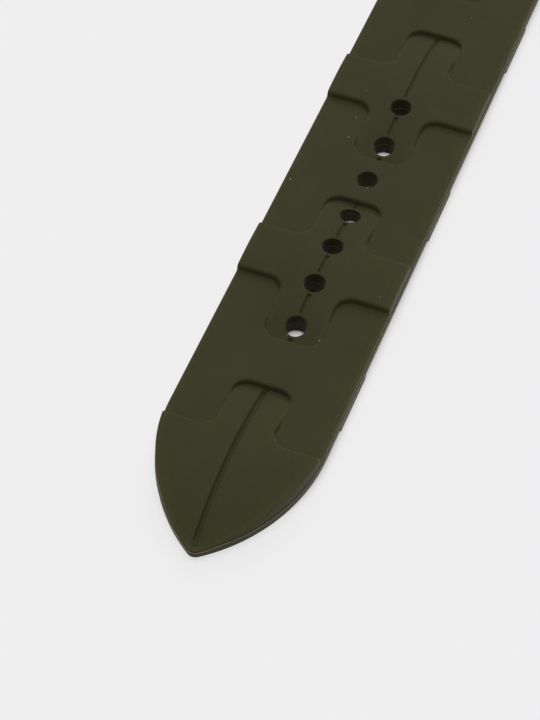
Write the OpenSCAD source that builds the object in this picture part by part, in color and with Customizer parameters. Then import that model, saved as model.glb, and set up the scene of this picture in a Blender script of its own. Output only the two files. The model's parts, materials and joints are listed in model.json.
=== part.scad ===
// Silicone watch strap in two halves, with keepers, a tang buckle and quick release spring bars.
// X runs across the strap, Y along it and Z up. The strap lies face up on z = 0, the long half's
// tip towards -Y, and the origin is under the middle of the whole length.

/* [Strap] */
// Width of both halves, the width between the watch's lugs
strap_w = 22; // [20:1:24]
// Thickness between the raised plates
base_t = 2.55; // [2.2:0.05:3]
// Height of a raised plate's crown above the plates between
crown_h = 1.1; // [0.9:0.05:1.3]
// Radius of each crown, seen from the side
crown_r = 44; // [40:1:60]
// Height of the pads under the strap
pad_h = 0.75; // [0.5:0.05:1]
// Length of each pad
pad_l = 10.5; // [8:0.5:12]
// Width of the groove along the middle of the raised plates
groove_w = 0.7; // [0.5:0.05:1]
// Depth of that groove
groove_d = 0.4; // [0.2:0.05:0.5]

/* [Raised plates] */
// Length of a raised plate's full width body
body_l = 8.55; // [7:0.05:10]
// Width of a raised plate's tongues
tongue_w = 8; // [7:0.1:9]
// Length of a tongue past the body
tongue_l = 9.05; // [8:0.05:10]
// Radius of a tongue's corners
tongue_r = 2; // [1:0.1:3]
// Radius where a tongue leaves the body
root_r = 2.2; // [1:0.1:3]
// Raised plates on the long half, with the tip and the lug end
long_plates = 4; // [4:1:5]
// Raised plates on the short half, with both ends
short_plates = 3; // [3:1:4]

/* [Holes and tip] */
// Diameter of the adjusting holes
hole_d = 3; // [2.8:0.1:3.4]
// Distance from one hole to the next
hole_pitch = 7.05; // [6.8:0.05:7.5]
// Hole distances from one raised plate to the next
holes_per_plate = 5; // [5:1:6]
// Number of adjusting holes
hole_count = 7; // [5:1:8]
// Length of the tip plate, from its shoulders to the tip
tip_plate_l = 17.7; // [17:0.1:19]
// Length over which the tip narrows, to a sharp point
point_l = 20.1; // [19:0.1:21]
// Radius of the rounded point
point_r = 0.8; // [0.5:0.1:1.2]

/* [Ends] */
// Distance from an end plate's middle to the spring bar
bar_offset = 6; // [5.5:0.1:8]
// Gap between the two halves as they lie
half_gap = 0.5; // [0.3:0.1:0.9]
// Length of the slot for the tang, from the bar inwards
tang_slot_l = 6; // [5:0.1:7]
// Width of the recess for a release knob, along the strap
knob_recess_w = 3; // [2.6:0.1:3.4]

/* [Keepers] */
// Length of a keeper along the strap
keeper_l = 6; // [4:0.5:8]
// Wall of a keeper
keeper_wall = 1.6; // [1.4:0.1:2]
// Inner corner radius of a keeper
keeper_r = 0.6; // [0.4:0.1:0.7]
// Room left in a keeper over the tail
keeper_room = 0.4; // [0.2:0.1:1]
// Depth of the side notches that hold the fixed keeper
notch_d = 0.6; // [0.4:0.1:0.8]
// Distance from the buckle's bar to the fixed keeper's middle
fixed_keeper_y = 17.5; // [17:0.5:19]
// Distance from the buckle's bar to the free keeper's middle
free_keeper_y = 36; // [30:0.5:42]

/* [Spring bars] */
// Outer diameter of a bar's sleeve
sleeve_d = 1.8; // [1.6:0.1:2]
// Wall of the sleeve
sleeve_wall = 0.2; // [0.15:0.01:0.25]
// Distance from a sleeve's end to the strap's side
sleeve_inset = 0.7; // [0.5:0.1:1]
// Length of the turned-in lip at a sleeve's end
lip_l = 0.4; // [0.3:0.1:0.6]
// Diameter of an end pin's shank
shank_d = 1.1; // [1:0.05:1.15]
// Diameter of an end pin's tip
tip_d = 0.7; // [0.6:0.05:0.75]
// Length of a lug bar's tips past the strap's sides
tip_l = 1; // [0.8:0.1:1.4]
// Length of an end pin's head inside the sleeve
head_l = 1.4; // [1.2:0.1:1.8]
// Travel of a sprung end pin
pin_travel = 1.1; // [0.8:0.1:1.2]
// Diameter of the release knob's post
post_d = 0.7; // [0.5:0.05:0.8]
// Diameter of the release knob
knob_d = 1.2; // [1:0.1:1.4]
// Thickness of the release knob
knob_t = 0.5; // [0.3:0.1:0.6]
// Distance from the knob's face up from the strap's underside
knob_inset = 0.3; // [0.2:0.1:0.5]

/* [Buckle] */
// Distance from the buckle's bar to the middle of its front rail
buckle_l = 12.5; // [11.5:0.1:14]
// Height of the front rail's middle above the bar, with the frame level
rail_rise = 1; // [0.5:0.1:2]
// Diameter of the front rail
rail_d = 2.8; // [2.4:0.1:3.2]
// Diameter of the side arms' ends round the rail
arm_end_d = 3.4; // [3.3:0.1:3.8]
// Diameter of the frame's ears round the bar
ear_d = 4.6; // [4:0.1:5]
// Thickness of the frame's side arms
arm_t = 2.2; // [1.8:0.1:2.6]
// Width of the tang
tang_w = 2.4; // [2:0.1:2.6]
// Thickness of the tang at its tip
tang_t = 1.3; // [1:0.1:1.6]
// Diameter of the tang's eye round the bar
eye_d = 3.6; // [3.2:0.1:3.8]

/* [Clearances] */
// Radial clearance of what turns or slides in a bore
run_c = 0.05; // [0.02:0.01:0.1]
// Clearance of what lies still against its seat
seat_c = 0.02; // [0.01:0.01:0.05]
// Clearance of the keepers under the pads
under_c = 0.1; // [0.05:0.05:0.2]
// Side clearance of keepers, frame and tang beside the strap
side_c = 0.4; // [0.3:0.05:0.5]

/* [Hidden] */
$fn = 96;
eps = 0.01;
olive = "#3E3E2B";
steel = "#C9CBCC";
spring_steel = "#8E9297";

half_w = strap_w / 2;
strap_h = pad_h + base_t + crown_h;
base_top = pad_h + base_t;
end_r = strap_h / 2;
far = 3 * strap_w;

// Places along Y, counted from the tip and then shifted to the middle
plate_pitch = hole_pitch * holes_per_plate;
tip_plate_from_tip = tip_plate_l - body_l / 2;
long_bar_from_tip = tip_plate_from_tip + (long_plates - 1) * plate_pitch + bar_offset;
short_bar_from_tip = long_bar_from_tip + 2 * end_r + half_gap;
buckle_bar_from_tip = short_bar_from_tip + 2 * bar_offset + (short_plates - 1) * plate_pitch;

// The short half lies on its keepers, which reach under its pads
short_lift = keeper_wall + under_c;
lug_bar_z = end_r;
short_bar_z = short_lift + end_r;

// The buckle frame lies with its arms' ends on z = 0
rail_arm = norm([buckle_l, rail_rise]);
rest_tilt = asin((short_bar_z - arm_end_d / 2) / rail_arm) + atan2(rail_rise, buckle_l);
rail_reach = buckle_l * cos(rest_tilt) + rail_rise * sin(rest_tilt) + arm_end_d / 2;
total_l = buckle_bar_from_tip + rail_reach;

tip_y = -total_l / 2;
tip_plate_y = tip_y + tip_plate_from_tip;
lug_plate_y = tip_plate_y + (long_plates - 1) * plate_pitch;
long_bar_y = tip_y + long_bar_from_tip;
short_bar_y = tip_y + short_bar_from_tip;
short_plate_y = short_bar_y + bar_offset;
buckle_bar_y = tip_y + buckle_bar_from_tip;
last_plate_y = buckle_bar_y - bar_offset;
first_hole_y = tip_plate_y + plate_pitch - 1.5 * hole_pitch;

// Spring bars, measured along X from the strap's middle
bore_d = sleeve_d + 2 * run_c;
sleeve_half = half_w - sleeve_inset;
sleeve_bore_d = sleeve_d - 2 * sleeve_wall;
lip_bore_d = shank_d + 2 * run_c;
head_d = sleeve_bore_d - 2 * run_c;
head_out = sleeve_half - lip_l - seat_c;
head_in = head_out - head_l;
post_x = head_out - head_l / 2;
ear_in = half_w + side_c;
ear_out = ear_in + arm_t;
tang_slot_w = tang_w + 2 * side_c;
keeper_in_w = strap_w + 2 * side_c;
keeper_in_h = under_c + 2 * strap_h + keeper_room;

// Outline round two circles and their outer tangents, from a point list
link_steps = 24;
function arc_points(p, r, from, to) =
  [for (i = [0 : link_steps]) let (a = from + (to - from) * i / link_steps)
    p + r * [cos(a), sin(a)]];
function link_points(p, rp, q, rq) =
  let (d = q - p, way = atan2(d[1], d[0]), spread = acos((rp - rq) / norm(d)))
  concat(arc_points(p, rp, way + spread, way + 360 - spread),
         arc_points(q, rq, way - spread, way + spread));

module rounded_rect(w, h, r) {
  square([w, h - 2 * r], center = true);
  square([w - 2 * r, h], center = true);
  for (x = [-1, 1], y = [-1, 1])
    translate([x * (w / 2 - r), y * (h / 2 - r)]) circle(r = r);
}

module bar_along_x(d, from, to) {
  translate([from, 0, 0]) rotate([0, 90, 0]) cylinder(d = d, h = to - from);
}

// Outline of the long half up to its lug bar: two arcs that meet in a small round point, then
// straight sides
module long_outline() {
  arc_r = (point_l * point_l + half_w * half_w) / (2 * half_w);
  point_y = -sqrt(pow(arc_r - point_r, 2) - pow(arc_r - half_w, 2));
  touch_y = arc_r * point_y / (arc_r - point_r);
  translate([0, tip_y - point_y + point_r]) {
    intersection() {
      translate([half_w - arc_r, 0]) circle(r = arc_r, $fn = 360);
      translate([arc_r - half_w, 0]) circle(r = arc_r, $fn = 360);
      translate([-half_w, touch_y]) square([strap_w, -touch_y]);
    }
    intersection() {
      translate([0, point_y]) circle(r = point_r);
      translate([-half_w, touch_y - half_w]) square([strap_w, half_w]);
    }
    translate([-half_w, 0])
      square([strap_w, long_bar_y - tip_y + point_y - point_r]);
  }
}

// One tongue, pointing to +Y from a body whose edge is on y = 0
module tongue_2d() {
  translate([0, tongue_l / 2 - tongue_r])
    rounded_rect(tongue_w, tongue_l + 2 * tongue_r, tongue_r);
  for (side = [-1, 1])
    translate([side * (tongue_w / 2 + root_r), root_r])
      difference() {
        translate([side > 0 ? -root_r : 0, -root_r]) square(root_r);
        circle(r = root_r);
      }
}

// A raised plate's outline: a full width body, a tongue on each inner end, and at an outer end
// the body run on by the given length instead
module plate_2d(y, run_down, run_up) {
  low = body_l / 2 + run_down;
  translate([-half_w, y - low]) square([strap_w, low + body_l / 2 + run_up]);
  if (run_up == 0) translate([0, y + body_l / 2]) tongue_2d();
  if (run_down == 0) translate([0, y - body_l / 2]) mirror([0, 1]) tongue_2d();
}

// The round crown over a plate, a long cylinder across the strap
module crown(y, drop) {
  translate([-far, y, base_top + crown_h - crown_r])
    rotate([0, 90, 0]) cylinder(r = crown_r - drop, h = 2 * far, $fn = 360);
}

// Groove along the middle of a plate, left out round each hole
module groove(y, from, to, holes) {
  difference() {
    translate([-groove_w / 2, from, 0]) cube([groove_w, to - from, 2 * strap_h]);
    crown(y, groove_d);
    for (hole = holes)
      translate([0, hole, -eps]) cylinder(r = hole_d / 2 + groove_w / 2, h = 3 * strap_h);
  }
}

// A strap half: plates is a list of [y, run_down, run_up], pads a list of y
module strap_half(plates, pads) {
  difference() {
    union() {
      translate([0, 0, pad_h]) linear_extrude(base_t) children(0);
      for (p = plates)
        intersection() {
          crown(p[0], 0);
          translate([0, 0, pad_h])
            linear_extrude(2 * strap_h) intersection() {
              children(0);
              plate_2d(p[0], p[1], p[2]);
            }
        }
      for (y = pads)
        translate([-half_w, y - pad_l / 2, 0]) cube([strap_w, pad_l, pad_h + base_t / 2]);
    }
    for (p = plates)
      difference() {
        translate([0, 0, pad_h]) linear_extrude(2 * strap_h) plate_2d(p[0], p[1], p[2]);
        crown(p[0], 0);
      }
  }
}

// Round end of a strap half over a spring bar
module round_end(y) {
  translate([0, y, end_r]) bar_along_x(2 * end_r, -half_w, half_w);
}

// Room under a lug end for the release knob and its post
module knob_recess(y) {
  reach = knob_d / 2 + side_c;
  translate([post_x - pin_travel - reach, y - knob_recess_w / 2, -eps])
    cube([pin_travel + 2 * reach, knob_recess_w, end_r + eps]);
}

module long_strap() color(olive) {
  holes = [for (i = [0 : hole_count - 1]) first_hole_y + i * hole_pitch];
  inner = [for (i = [1 : long_plates - 2]) tip_plate_y + i * plate_pitch];
  plates = concat(
    [[tip_plate_y, tip_plate_l, 0]],
    [for (y = inner) [y, 0, 0]],
    [[lug_plate_y, 0, bar_offset]]);
  pads = [for (i = [0 : long_plates - 2]) tip_plate_y + (i + 0.5) * plate_pitch];
  difference() {
    union() {
      strap_half(plates, pads) long_outline();
      round_end(long_bar_y);
    }
    for (y = holes)
      translate([0, y, -eps]) cylinder(d = hole_d, h = 2 * strap_h);
    groove(tip_plate_y, tip_y + point_r, tip_plate_y + body_l / 2 + tongue_l - eps, []);
    for (y = inner)
      groove(y, y - body_l / 2 - tongue_l + eps, y + body_l / 2 + tongue_l - eps, holes);
    groove(lug_plate_y, lug_plate_y - body_l / 2 - tongue_l + eps, lug_plate_y, holes);
    translate([0, long_bar_y, lug_bar_z]) bar_along_x(bore_d, -far, far);
    knob_recess(long_bar_y);
  }
}

module short_strap() color(olive) translate([0, 0, short_lift]) {
  inner = [for (i = [1 : short_plates - 2]) short_plate_y + i * plate_pitch];
  plates = concat(
    [[short_plate_y, bar_offset, 0]],
    [for (y = inner) [y, 0, 0]],
    [[last_plate_y, 0, bar_offset]]);
  pads = [for (i = [0 : short_plates - 2]) short_plate_y + (i + 0.5) * plate_pitch];
  keeper_y = buckle_bar_y - fixed_keeper_y;
  notch_l = keeper_l + 2 * run_c;
  difference() {
    union() {
      strap_half(plates, pads)
        translate([-half_w, short_bar_y]) square([strap_w, buckle_bar_y - short_bar_y]);
      round_end(short_bar_y);
      round_end(buckle_bar_y);
    }
    groove(short_plate_y, short_plate_y, short_plate_y + body_l / 2 + tongue_l - eps, []);
    for (y = inner)
      groove(y, y - body_l / 2 - tongue_l + eps, y + body_l / 2 + tongue_l - eps, []);
    groove(last_plate_y, last_plate_y - body_l / 2 - tongue_l + eps, last_plate_y, []);
    for (y = [short_bar_y, buckle_bar_y])
      translate([0, y, end_r]) bar_along_x(bore_d, -far, far);
    knob_recess(short_bar_y);
    for (side = [-1, 1])
      translate([side * half_w - notch_d, keeper_y - notch_l / 2, -eps])
        cube([2 * notch_d, notch_l, 2 * strap_h]);
    translate([0, buckle_bar_y - tang_slot_l + tang_slot_w / 2, -eps])
      cylinder(d = tang_slot_w, h = 2 * strap_h);
    translate([-tang_slot_w / 2, buckle_bar_y - tang_slot_l + tang_slot_w / 2, -eps])
      cube([tang_slot_w, tang_slot_l + end_r, 2 * strap_h]);
  }
}

// A keeper, a loop round the strap with room for the tail above it
module keeper(y) {
  out_w = keeper_in_w + 2 * keeper_wall;
  out_h = keeper_in_h + 2 * keeper_wall;
  translate([0, y + keeper_l / 2, out_h / 2])
    rotate([90, 0, 0])
      linear_extrude(keeper_l)
        difference() {
          rounded_rect(out_w, out_h, keeper_r + keeper_wall);
          rounded_rect(keeper_in_w, keeper_in_h, keeper_r);
        }
}

// The fixed keeper has a tab on each inner side that sits in the strap's side notch
module fixed_keeper() color(olive) {
  y = buckle_bar_y - fixed_keeper_y;
  tab_in = half_w - notch_d + run_c;
  keeper(y);
  for (side = [0, 1])
    mirror([side, 0, 0])
      translate([tab_in, y - keeper_l / 2, short_lift + pad_h])
        cube([ear_in + keeper_wall / 2 - tab_in, keeper_l, base_t]);
}

module free_keeper() color(olive) keeper(buckle_bar_y - free_keeper_y);

// Places its children at the buckle's bar, turned down to the frame's rest
module at_buckle() {
  translate([0, buckle_bar_y, short_bar_z]) rotate([-rest_tilt, 0, 0]) children();
}

// Extrudes an outline drawn in Y and Z across the strap
module across(from, to) {
  translate([from, 0, 0]) rotate([90, 0, 90]) linear_extrude(to - from) children();
}

// The tang's arm, from its eye to where it lies in the rail's notch
module tang_arm(w, grow) {
  tang_r = tang_t / 2;
  across(-w / 2, w / 2)
    polygon(link_points([tang_r, eye_d / 2 - 1.5 * tang_r], tang_r + grow,
                        [buckle_l, rail_rise + rail_d / 2 + tang_r / 3], tang_r + grow));
}

module buckle_frame() color(steel) at_buckle()
  difference() {
    union() {
      for (side = [-1, 1])
        across(side > 0 ? ear_in : -ear_out, side > 0 ? ear_out : -ear_in)
          polygon(link_points([0, 0], ear_d / 2, [buckle_l, rail_rise], arm_end_d / 2));
      translate([0, buckle_l, rail_rise])
        bar_along_x(rail_d, -ear_in - arm_t / 2, ear_in + arm_t / 2);
    }
    bar_along_x(tip_d + 2 * run_c, -far, far);
    tang_arm(tang_w + 2 * run_c, run_c);
  }

module buckle_tang() color(steel) at_buckle()
  difference() {
    union() {
      bar_along_x(eye_d, -tang_w / 2, tang_w / 2);
      tang_arm(tang_w, 0);
    }
    bar_along_x(bore_d, -far, far);
  }

// A spring bar's sleeve, with a lip turned in at each end and a slot where it has a release post
module sleeve(slotted) {
  difference() {
    bar_along_x(sleeve_d, -sleeve_half, sleeve_half);
    bar_along_x(sleeve_bore_d, -sleeve_half + lip_l, sleeve_half - lip_l);
    bar_along_x(lip_bore_d, -far, far);
    if (slotted)
      translate([post_x - pin_travel - post_d / 2 - run_c, -post_d / 2 - run_c, -sleeve_d])
        cube([pin_travel + post_d + 2 * run_c, post_d + 2 * run_c, sleeve_d]);
  }
}

// An end pin on the +X side: head in the sleeve, shank through the lip, and tip
module end_pin(shank_end, tip_end, pin_head_d, crossed) {
  difference() {
    union() {
      bar_along_x(pin_head_d, head_in, head_out);
      bar_along_x(shank_d, head_in, shank_end);
      bar_along_x(tip_d, head_in, tip_end);
    }
    if (crossed)
      translate([post_x, 0, -sleeve_d]) cylinder(d = post_d + 2 * seat_c, h = sleeve_d);
  }
}

// The spring between two pin heads, drawn as the sleeve of room that its coils fill
module bar_spring() {
  spring_half = head_in - seat_c;
  difference() {
    bar_along_x(head_d - 2 * run_c, -spring_half, spring_half);
    bar_along_x(head_d - 6 * sleeve_wall + 2 * run_c, -far, far);
  }
}

// The release knob and its post, down from the sliding pin through the sleeve's slot
module release_knob() {
  low = knob_inset - end_r;
  translate([post_x, 0, low]) cylinder(d = knob_d, h = knob_t);
  translate([post_x, 0, low]) cylinder(d = post_d, h = -low);
}

module at_long_bar() translate([0, long_bar_y, lug_bar_z]) children();
module at_short_bar() translate([0, short_bar_y, short_bar_z]) children();
module at_buckle_bar() translate([0, buckle_bar_y, short_bar_z]) children();

module lug_slide_pin() end_pin(half_w, half_w + tip_l, head_d, true);
module lug_fixed_pin() mirror([1, 0, 0])
  end_pin(half_w, half_w + tip_l, sleeve_bore_d - 2 * seat_c, false);
module buckle_pin() end_pin(ear_in - run_c, ear_in + tip_l, head_d, false);

module long_bar_sleeve() color(steel) at_long_bar() sleeve(true);
module long_bar_pin() color(steel) at_long_bar() lug_fixed_pin();
module long_slide_pin() color(steel) at_long_bar() lug_slide_pin();
module long_release_knob() color(steel) at_long_bar() release_knob();
module long_bar_spring() color(spring_steel) at_long_bar() bar_spring();

module short_bar_sleeve() color(steel) at_short_bar() sleeve(true);
module short_bar_pin() color(steel) at_short_bar() lug_fixed_pin();
module short_slide_pin() color(steel) at_short_bar() lug_slide_pin();
module short_release_knob() color(steel) at_short_bar() release_knob();
module short_bar_spring() color(spring_steel) at_short_bar() bar_spring();

module buckle_bar_sleeve() color(steel) at_buckle_bar() sleeve(false);
module buckle_pin_left() color(steel) at_buckle_bar() mirror([1, 0, 0]) buckle_pin();
module buckle_pin_right() color(steel) at_buckle_bar() buckle_pin();
module buckle_bar_spring() color(spring_steel) at_buckle_bar() bar_spring();

long_strap();
short_strap();
fixed_keeper();
free_keeper();
buckle_frame();
buckle_tang();
buckle_bar_sleeve();
buckle_pin_left();
buckle_pin_right();
buckle_bar_spring();
long_bar_sleeve();
long_bar_pin();
long_slide_pin();
long_release_knob();
long_bar_spring();
short_bar_sleeve();
short_bar_pin();
short_slide_pin();
short_release_knob();
short_bar_spring();
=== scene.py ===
"""A silicone watch strap's looks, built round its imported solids."""

import json
import math
from types import SimpleNamespace

import bmesh
import bpy
import numpy as np
from bpy.props import FloatProperty, FloatVectorProperty, PointerProperty
from mathutils import Matrix, Vector
from mathutils.geometry import delaunay_2d_cdt


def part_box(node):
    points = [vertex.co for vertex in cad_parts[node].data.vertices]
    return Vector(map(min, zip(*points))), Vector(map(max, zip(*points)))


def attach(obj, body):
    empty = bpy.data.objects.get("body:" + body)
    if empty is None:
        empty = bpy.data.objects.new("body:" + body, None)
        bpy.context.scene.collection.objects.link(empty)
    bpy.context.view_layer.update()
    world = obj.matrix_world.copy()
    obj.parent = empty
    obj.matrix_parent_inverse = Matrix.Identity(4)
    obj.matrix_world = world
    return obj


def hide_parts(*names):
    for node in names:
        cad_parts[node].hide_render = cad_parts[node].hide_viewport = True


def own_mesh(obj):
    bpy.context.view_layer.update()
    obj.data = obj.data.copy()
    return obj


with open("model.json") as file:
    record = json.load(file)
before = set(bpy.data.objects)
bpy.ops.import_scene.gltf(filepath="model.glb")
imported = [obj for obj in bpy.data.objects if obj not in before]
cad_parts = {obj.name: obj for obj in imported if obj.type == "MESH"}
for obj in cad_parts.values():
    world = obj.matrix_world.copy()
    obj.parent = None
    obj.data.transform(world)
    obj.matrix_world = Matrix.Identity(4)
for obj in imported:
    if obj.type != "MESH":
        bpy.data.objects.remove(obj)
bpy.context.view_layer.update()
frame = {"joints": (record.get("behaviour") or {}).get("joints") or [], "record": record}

bl_info = {
    "name": "Silicone Watch Strap",
    "version": (1, 0, 0),
    "blender": (4, 5, 0),
    "location": "View3D > Sidebar > Strap",
    "description": "Builds a moulded silicone watch strap with keepers, buckle and spring bars",
    "category": "Object",
}

MM = 0.001
JOINTS = {joint["name"]: joint for joint in frame["joints"]}
MOUNTS = {mount["name"]: mount for mount in frame["record"]["mounts"]}


# Places taken from the frame, in millimetres

def corners(node):
    """Lowest and highest corner of a CAD node."""
    return [np.array(corner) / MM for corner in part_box(node)]


def joint_place(name):
    """Y and Z of a joint whose axis runs across the strap."""
    return np.array(JOINTS[name]["pos_m"][1:]) / MM


LONG_LOW, LONG_HIGH = corners("long_strap")
SHORT_LOW = corners("short_strap")[0]
HALF_WIDTH = LONG_HIGH[0]
TIP_Y = LONG_LOW[1]
LONG_BAR = joint_place("long_bar_turn")
SHORT_BAR = joint_place("short_bar_turn")
BUCKLE_BAR = joint_place("buckle_swing")
HOLES_Y = sorted(m["pos_m"][1] / MM for n, m in MOUNTS.items() if n.startswith("hole_"))
PLATE_PITCH = 5 * (HOLES_Y[1] - HOLES_Y[0])
HOLE_RADIUS = MOUNTS["hole_1"]["dims"]["r_mm"]


# Settings

def length(name, description, default):
    """A length property whose default is given in millimetres."""
    return FloatProperty(name=name, description=description, default=default * MM,
                         min=0.0, unit="LENGTH", precision=6)


def paint(name, description, default):
    """A colour property given as an sRGB hex value."""
    return FloatVectorProperty(name=name, description=description, subtype="COLOR",
                               size=3, min=0.0, max=1.0, default=linear(default))


def linear(code):
    """Linear red, green and blue of an sRGB hex value."""
    parts = [int(code[i:i + 2], 16) / 255 for i in (1, 3, 5)]
    return [c / 12.92 if c <= 0.04045 else ((c + 0.055) / 1.055) ** 2.4 for c in parts]


class StrapSizes(bpy.types.PropertyGroup):
    base_thickness: length("Base thickness", "Thickness between the raised plates", 2.55)
    pad_height: length("Pad height", "Height of the pads under the strap", 0.75)
    pad_length: length("Pad length", "Length of each pad along the strap", 9.8)
    pad_shift: length("Pad shift", "How far the long half's pads sit towards its tip", 0.5)
    pad_round: length("Pad rounding", "Radius of the pads' lower edges", 0.45)
    crown_height: length("Crown height", "Height of a raised plate over the base", 1.1)
    crown_radius: length("Crown radius", "Radius of a plate's crown seen from the side", 44)
    body_length: length("Body length", "Length of a plate's full width body", 8.55)
    tongue_width: length("Tongue width", "Width of a plate's tongues", 8)
    tongue_length: length("Tongue length", "Length of a tongue past the body", 9.05)
    tongue_round: length("Tongue corner radius", "Radius of a tongue's corners", 2)
    root_round: length("Tongue root radius", "Radius where a tongue leaves its body", 2.2)
    step_rim: length("Step rim radius", "Radius along the upper edge of each step", 0.42)
    step_root: length("Step root radius", "Radius along the foot of each step", 0.2)
    step_draft: length("Step draft", "Lean of each step's wall", 0.1)
    groove_width: length("Groove width", "Width of the groove along each plate", 0.72)
    point_groove: length("Point groove width", "Width of the groove along the point", 0.96)
    groove_depth: length("Groove depth", "Depth of the groove along each plate", 0.4)
    edge_round: length("Edge radius", "Radius along the strap's outer edges", 0.2)
    hole_round: length("Hole edge radius", "Radius round each hole's rim", 0.1)
    tip_plate_length: length("Tip plate length", "From its shoulders to the tip", 17.7)
    tip_plate_shift: length("Tip plate shift", "How far it sits off the even spacing", 0.4)
    point_length: length("Point length", "Length over which the tip narrows", 20.8)
    point_round: length("Point radius", "Radius of the rounded point", 1.2)
    point_lean: length("Point lean", "How far the soft point leans to one side", 0.45)
    point_back: length("Point back", "How far the soft point is pressed back", 0.15)
    point_droop: length("Point droop", "How far the crown's curve runs on past the tip", 1.0)
    point_rim: length("Point rim", "From the tip to the end of the groove", 0.5)
    parting_height: length("Parting height", "Height of the mould's parting line", 2.1)
    parting_proud: length("Parting proud", "How far the parting line stands out", 0.12)
    parting_fade: length("Parting fade", "Over which it fades out at the round ends", 3)
    bar_round: length("Bar end radius", "Radius of the strap's ends round the bars", 2.2)
    bar_bore: length("Bar bore", "Diameter of the bore for a bar's sleeve", 1.9)
    slot_width: length("Tang slot width", "Width of the slot for the tang", 3.2)
    slot_length: length("Tang slot length", "Length of that slot from the bar", 6)
    notch_depth: length("Notch depth", "Depth of the fixed keeper's side notches", 0.6)
    notch_length: length("Notch length", "Length of those notches", 6.1)
    end_plate_reach: length("End plate reach", "From an end plate's middle to the bar", 6)


class KeeperSizes(bpy.types.PropertyGroup):
    wall: length("Wall", "Thickness of a keeper's band", 1.6)
    inner_round: length("Inner radius", "Radius of a keeper's inner corners", 0.6)
    edge_round: length("Edge radius", "Radius along a keeper's edges", 0.45)
    tab_width: length("Tab width", "How far a tab reaches into the strap's notch", 1.75)
    tab_height: length("Tab height", "Height of that tab", 2.55)


class BuckleSizes(bpy.types.PropertyGroup):
    reach: length("Reach", "From the bar to the middle of the front rail", 12.5)
    rise: length("Rail rise", "Height of the rail over the bar, with the frame level", 1)
    rail_thick: length("Rail diameter", "Diameter of the front rail", 2.8)
    arm_end: length("Arm end diameter", "Diameter of the arms' ends round the rail", 3.4)
    ear: length("Ear diameter", "Diameter of the arms' ears round the bar", 4.6)
    arm_thick: length("Arm thickness", "Thickness of the side arms", 2.2)
    arm_gap: length("Arm distance", "From the strap's middle to an arm", 11.4)
    pin_bore: length("Pin bore", "Diameter of the bore for the bar's tips", 0.8)
    tang_width: length("Tang width", "Width of the tang", 2.4)
    tang_thick: length("Tang thickness", "Thickness of the tang", 1.3)
    tang_eye: length("Tang eye", "Diameter of the tang's eye round the bar", 3.6)
    tang_bore: length("Tang bore", "Diameter of the bore through the eye", 1.9)
    notch_room: length("Notch room", "Room round the tang in the rail's notch", 0.05)
    edge_round: length("Edge radius", "Radius along the polished edges", 0.4)


class BarSizes(bpy.types.PropertyGroup):
    sleeve_half: length("Sleeve half length", "Half the length of a bar's sleeve", 10.3)
    sleeve_thick: length("Sleeve diameter", "Outer diameter of the sleeve", 1.8)
    sleeve_wall: length("Sleeve wall", "Wall of the sleeve", 0.2)
    lip: length("Lip", "Length of the rolled lip at a sleeve's end", 0.4)
    lip_bore: length("Lip bore", "Diameter of the opening in that lip", 1.2)
    head_thick: length("Head diameter", "Diameter of a pin's head in the sleeve", 1.3)
    head_length: length("Head length", "Length of that head", 1.4)
    head_end: length("Head end", "From the strap's middle to the head's outer face", 9.88)
    shank_thick: length("Shank diameter", "Diameter of a pin's shank", 1.1)
    tip_thick: length("Tip diameter", "Diameter of a pin's tip", 0.7)
    tip: length("Tip length", "Length of a pin's tip past the strap's side", 1)
    buckle_gap: length("Buckle side gap", "Room between the strap and the buckle's arms", 0.4)
    wire: length("Spring wire", "Diameter of the spring's wire", 0.3)
    coil_thick: length("Coil diameter", "Outer diameter of the spring", 1.2)
    spring_room: length("Spring room", "Room between a spring and a pin's head", 0.02)
    coil_pitch: length("Coil pitch", "Distance from one turn of the spring to the next", 0.55)
    travel: length("Travel", "How far a sliding pin moves in", 1.1)
    post_thick: length("Post diameter", "Diameter of a release knob's post", 0.7)
    post_place: length("Post distance", "From the strap's middle to the post", 9.18)
    knob_thick: length("Knob diameter", "Diameter of a release knob", 1.2)
    knob_height: length("Knob height", "Height of a release knob", 0.5)
    knob_drop: length("Knob drop", "From the bar's axis down to the knob's face", 1.9)
    recess_width: length("Recess width", "Width of a knob's recess along the strap", 3)
    recess_room: length("Recess room", "Room in the recess round the knob", 0.4)


def millimetres(group):
    """The lengths of a settings group, in millimetres."""
    props = [p for p in group.bl_rna.properties if getattr(p, "unit", "") == "LENGTH"]
    return SimpleNamespace(**{p.identifier: getattr(group, p.identifier) / MM for p in props})


# Outlines seen from above, in millimetres, with the material on the left of each stretch

class Line:
    """A straight stretch."""

    def __init__(self, start, end):
        self.start, self.end = np.array(start, float), np.array(end, float)
        self.length = np.linalg.norm(self.end - self.start)
        self.way = (self.end - self.start) / self.length
        self.out = np.array((self.way[1], -self.way[0]))

    def points(self, offset, step):
        """Points along the stretch, moved out by an offset."""
        share = np.linspace(0, 1, max(1, math.ceil(self.length / step)) + 1)[:, None]
        return self.start + share * (self.end - self.start) + offset * self.out

    def distance(self, spots):
        """Distance of each spot, positive on the outer side."""
        offset = spots - self.start
        along = np.clip(offset @ self.way, 0, self.length)
        gap = np.linalg.norm(offset - along[:, None] * self.way, axis=1)
        return np.where(offset @ self.out >= 0, gap, -gap)


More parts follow.
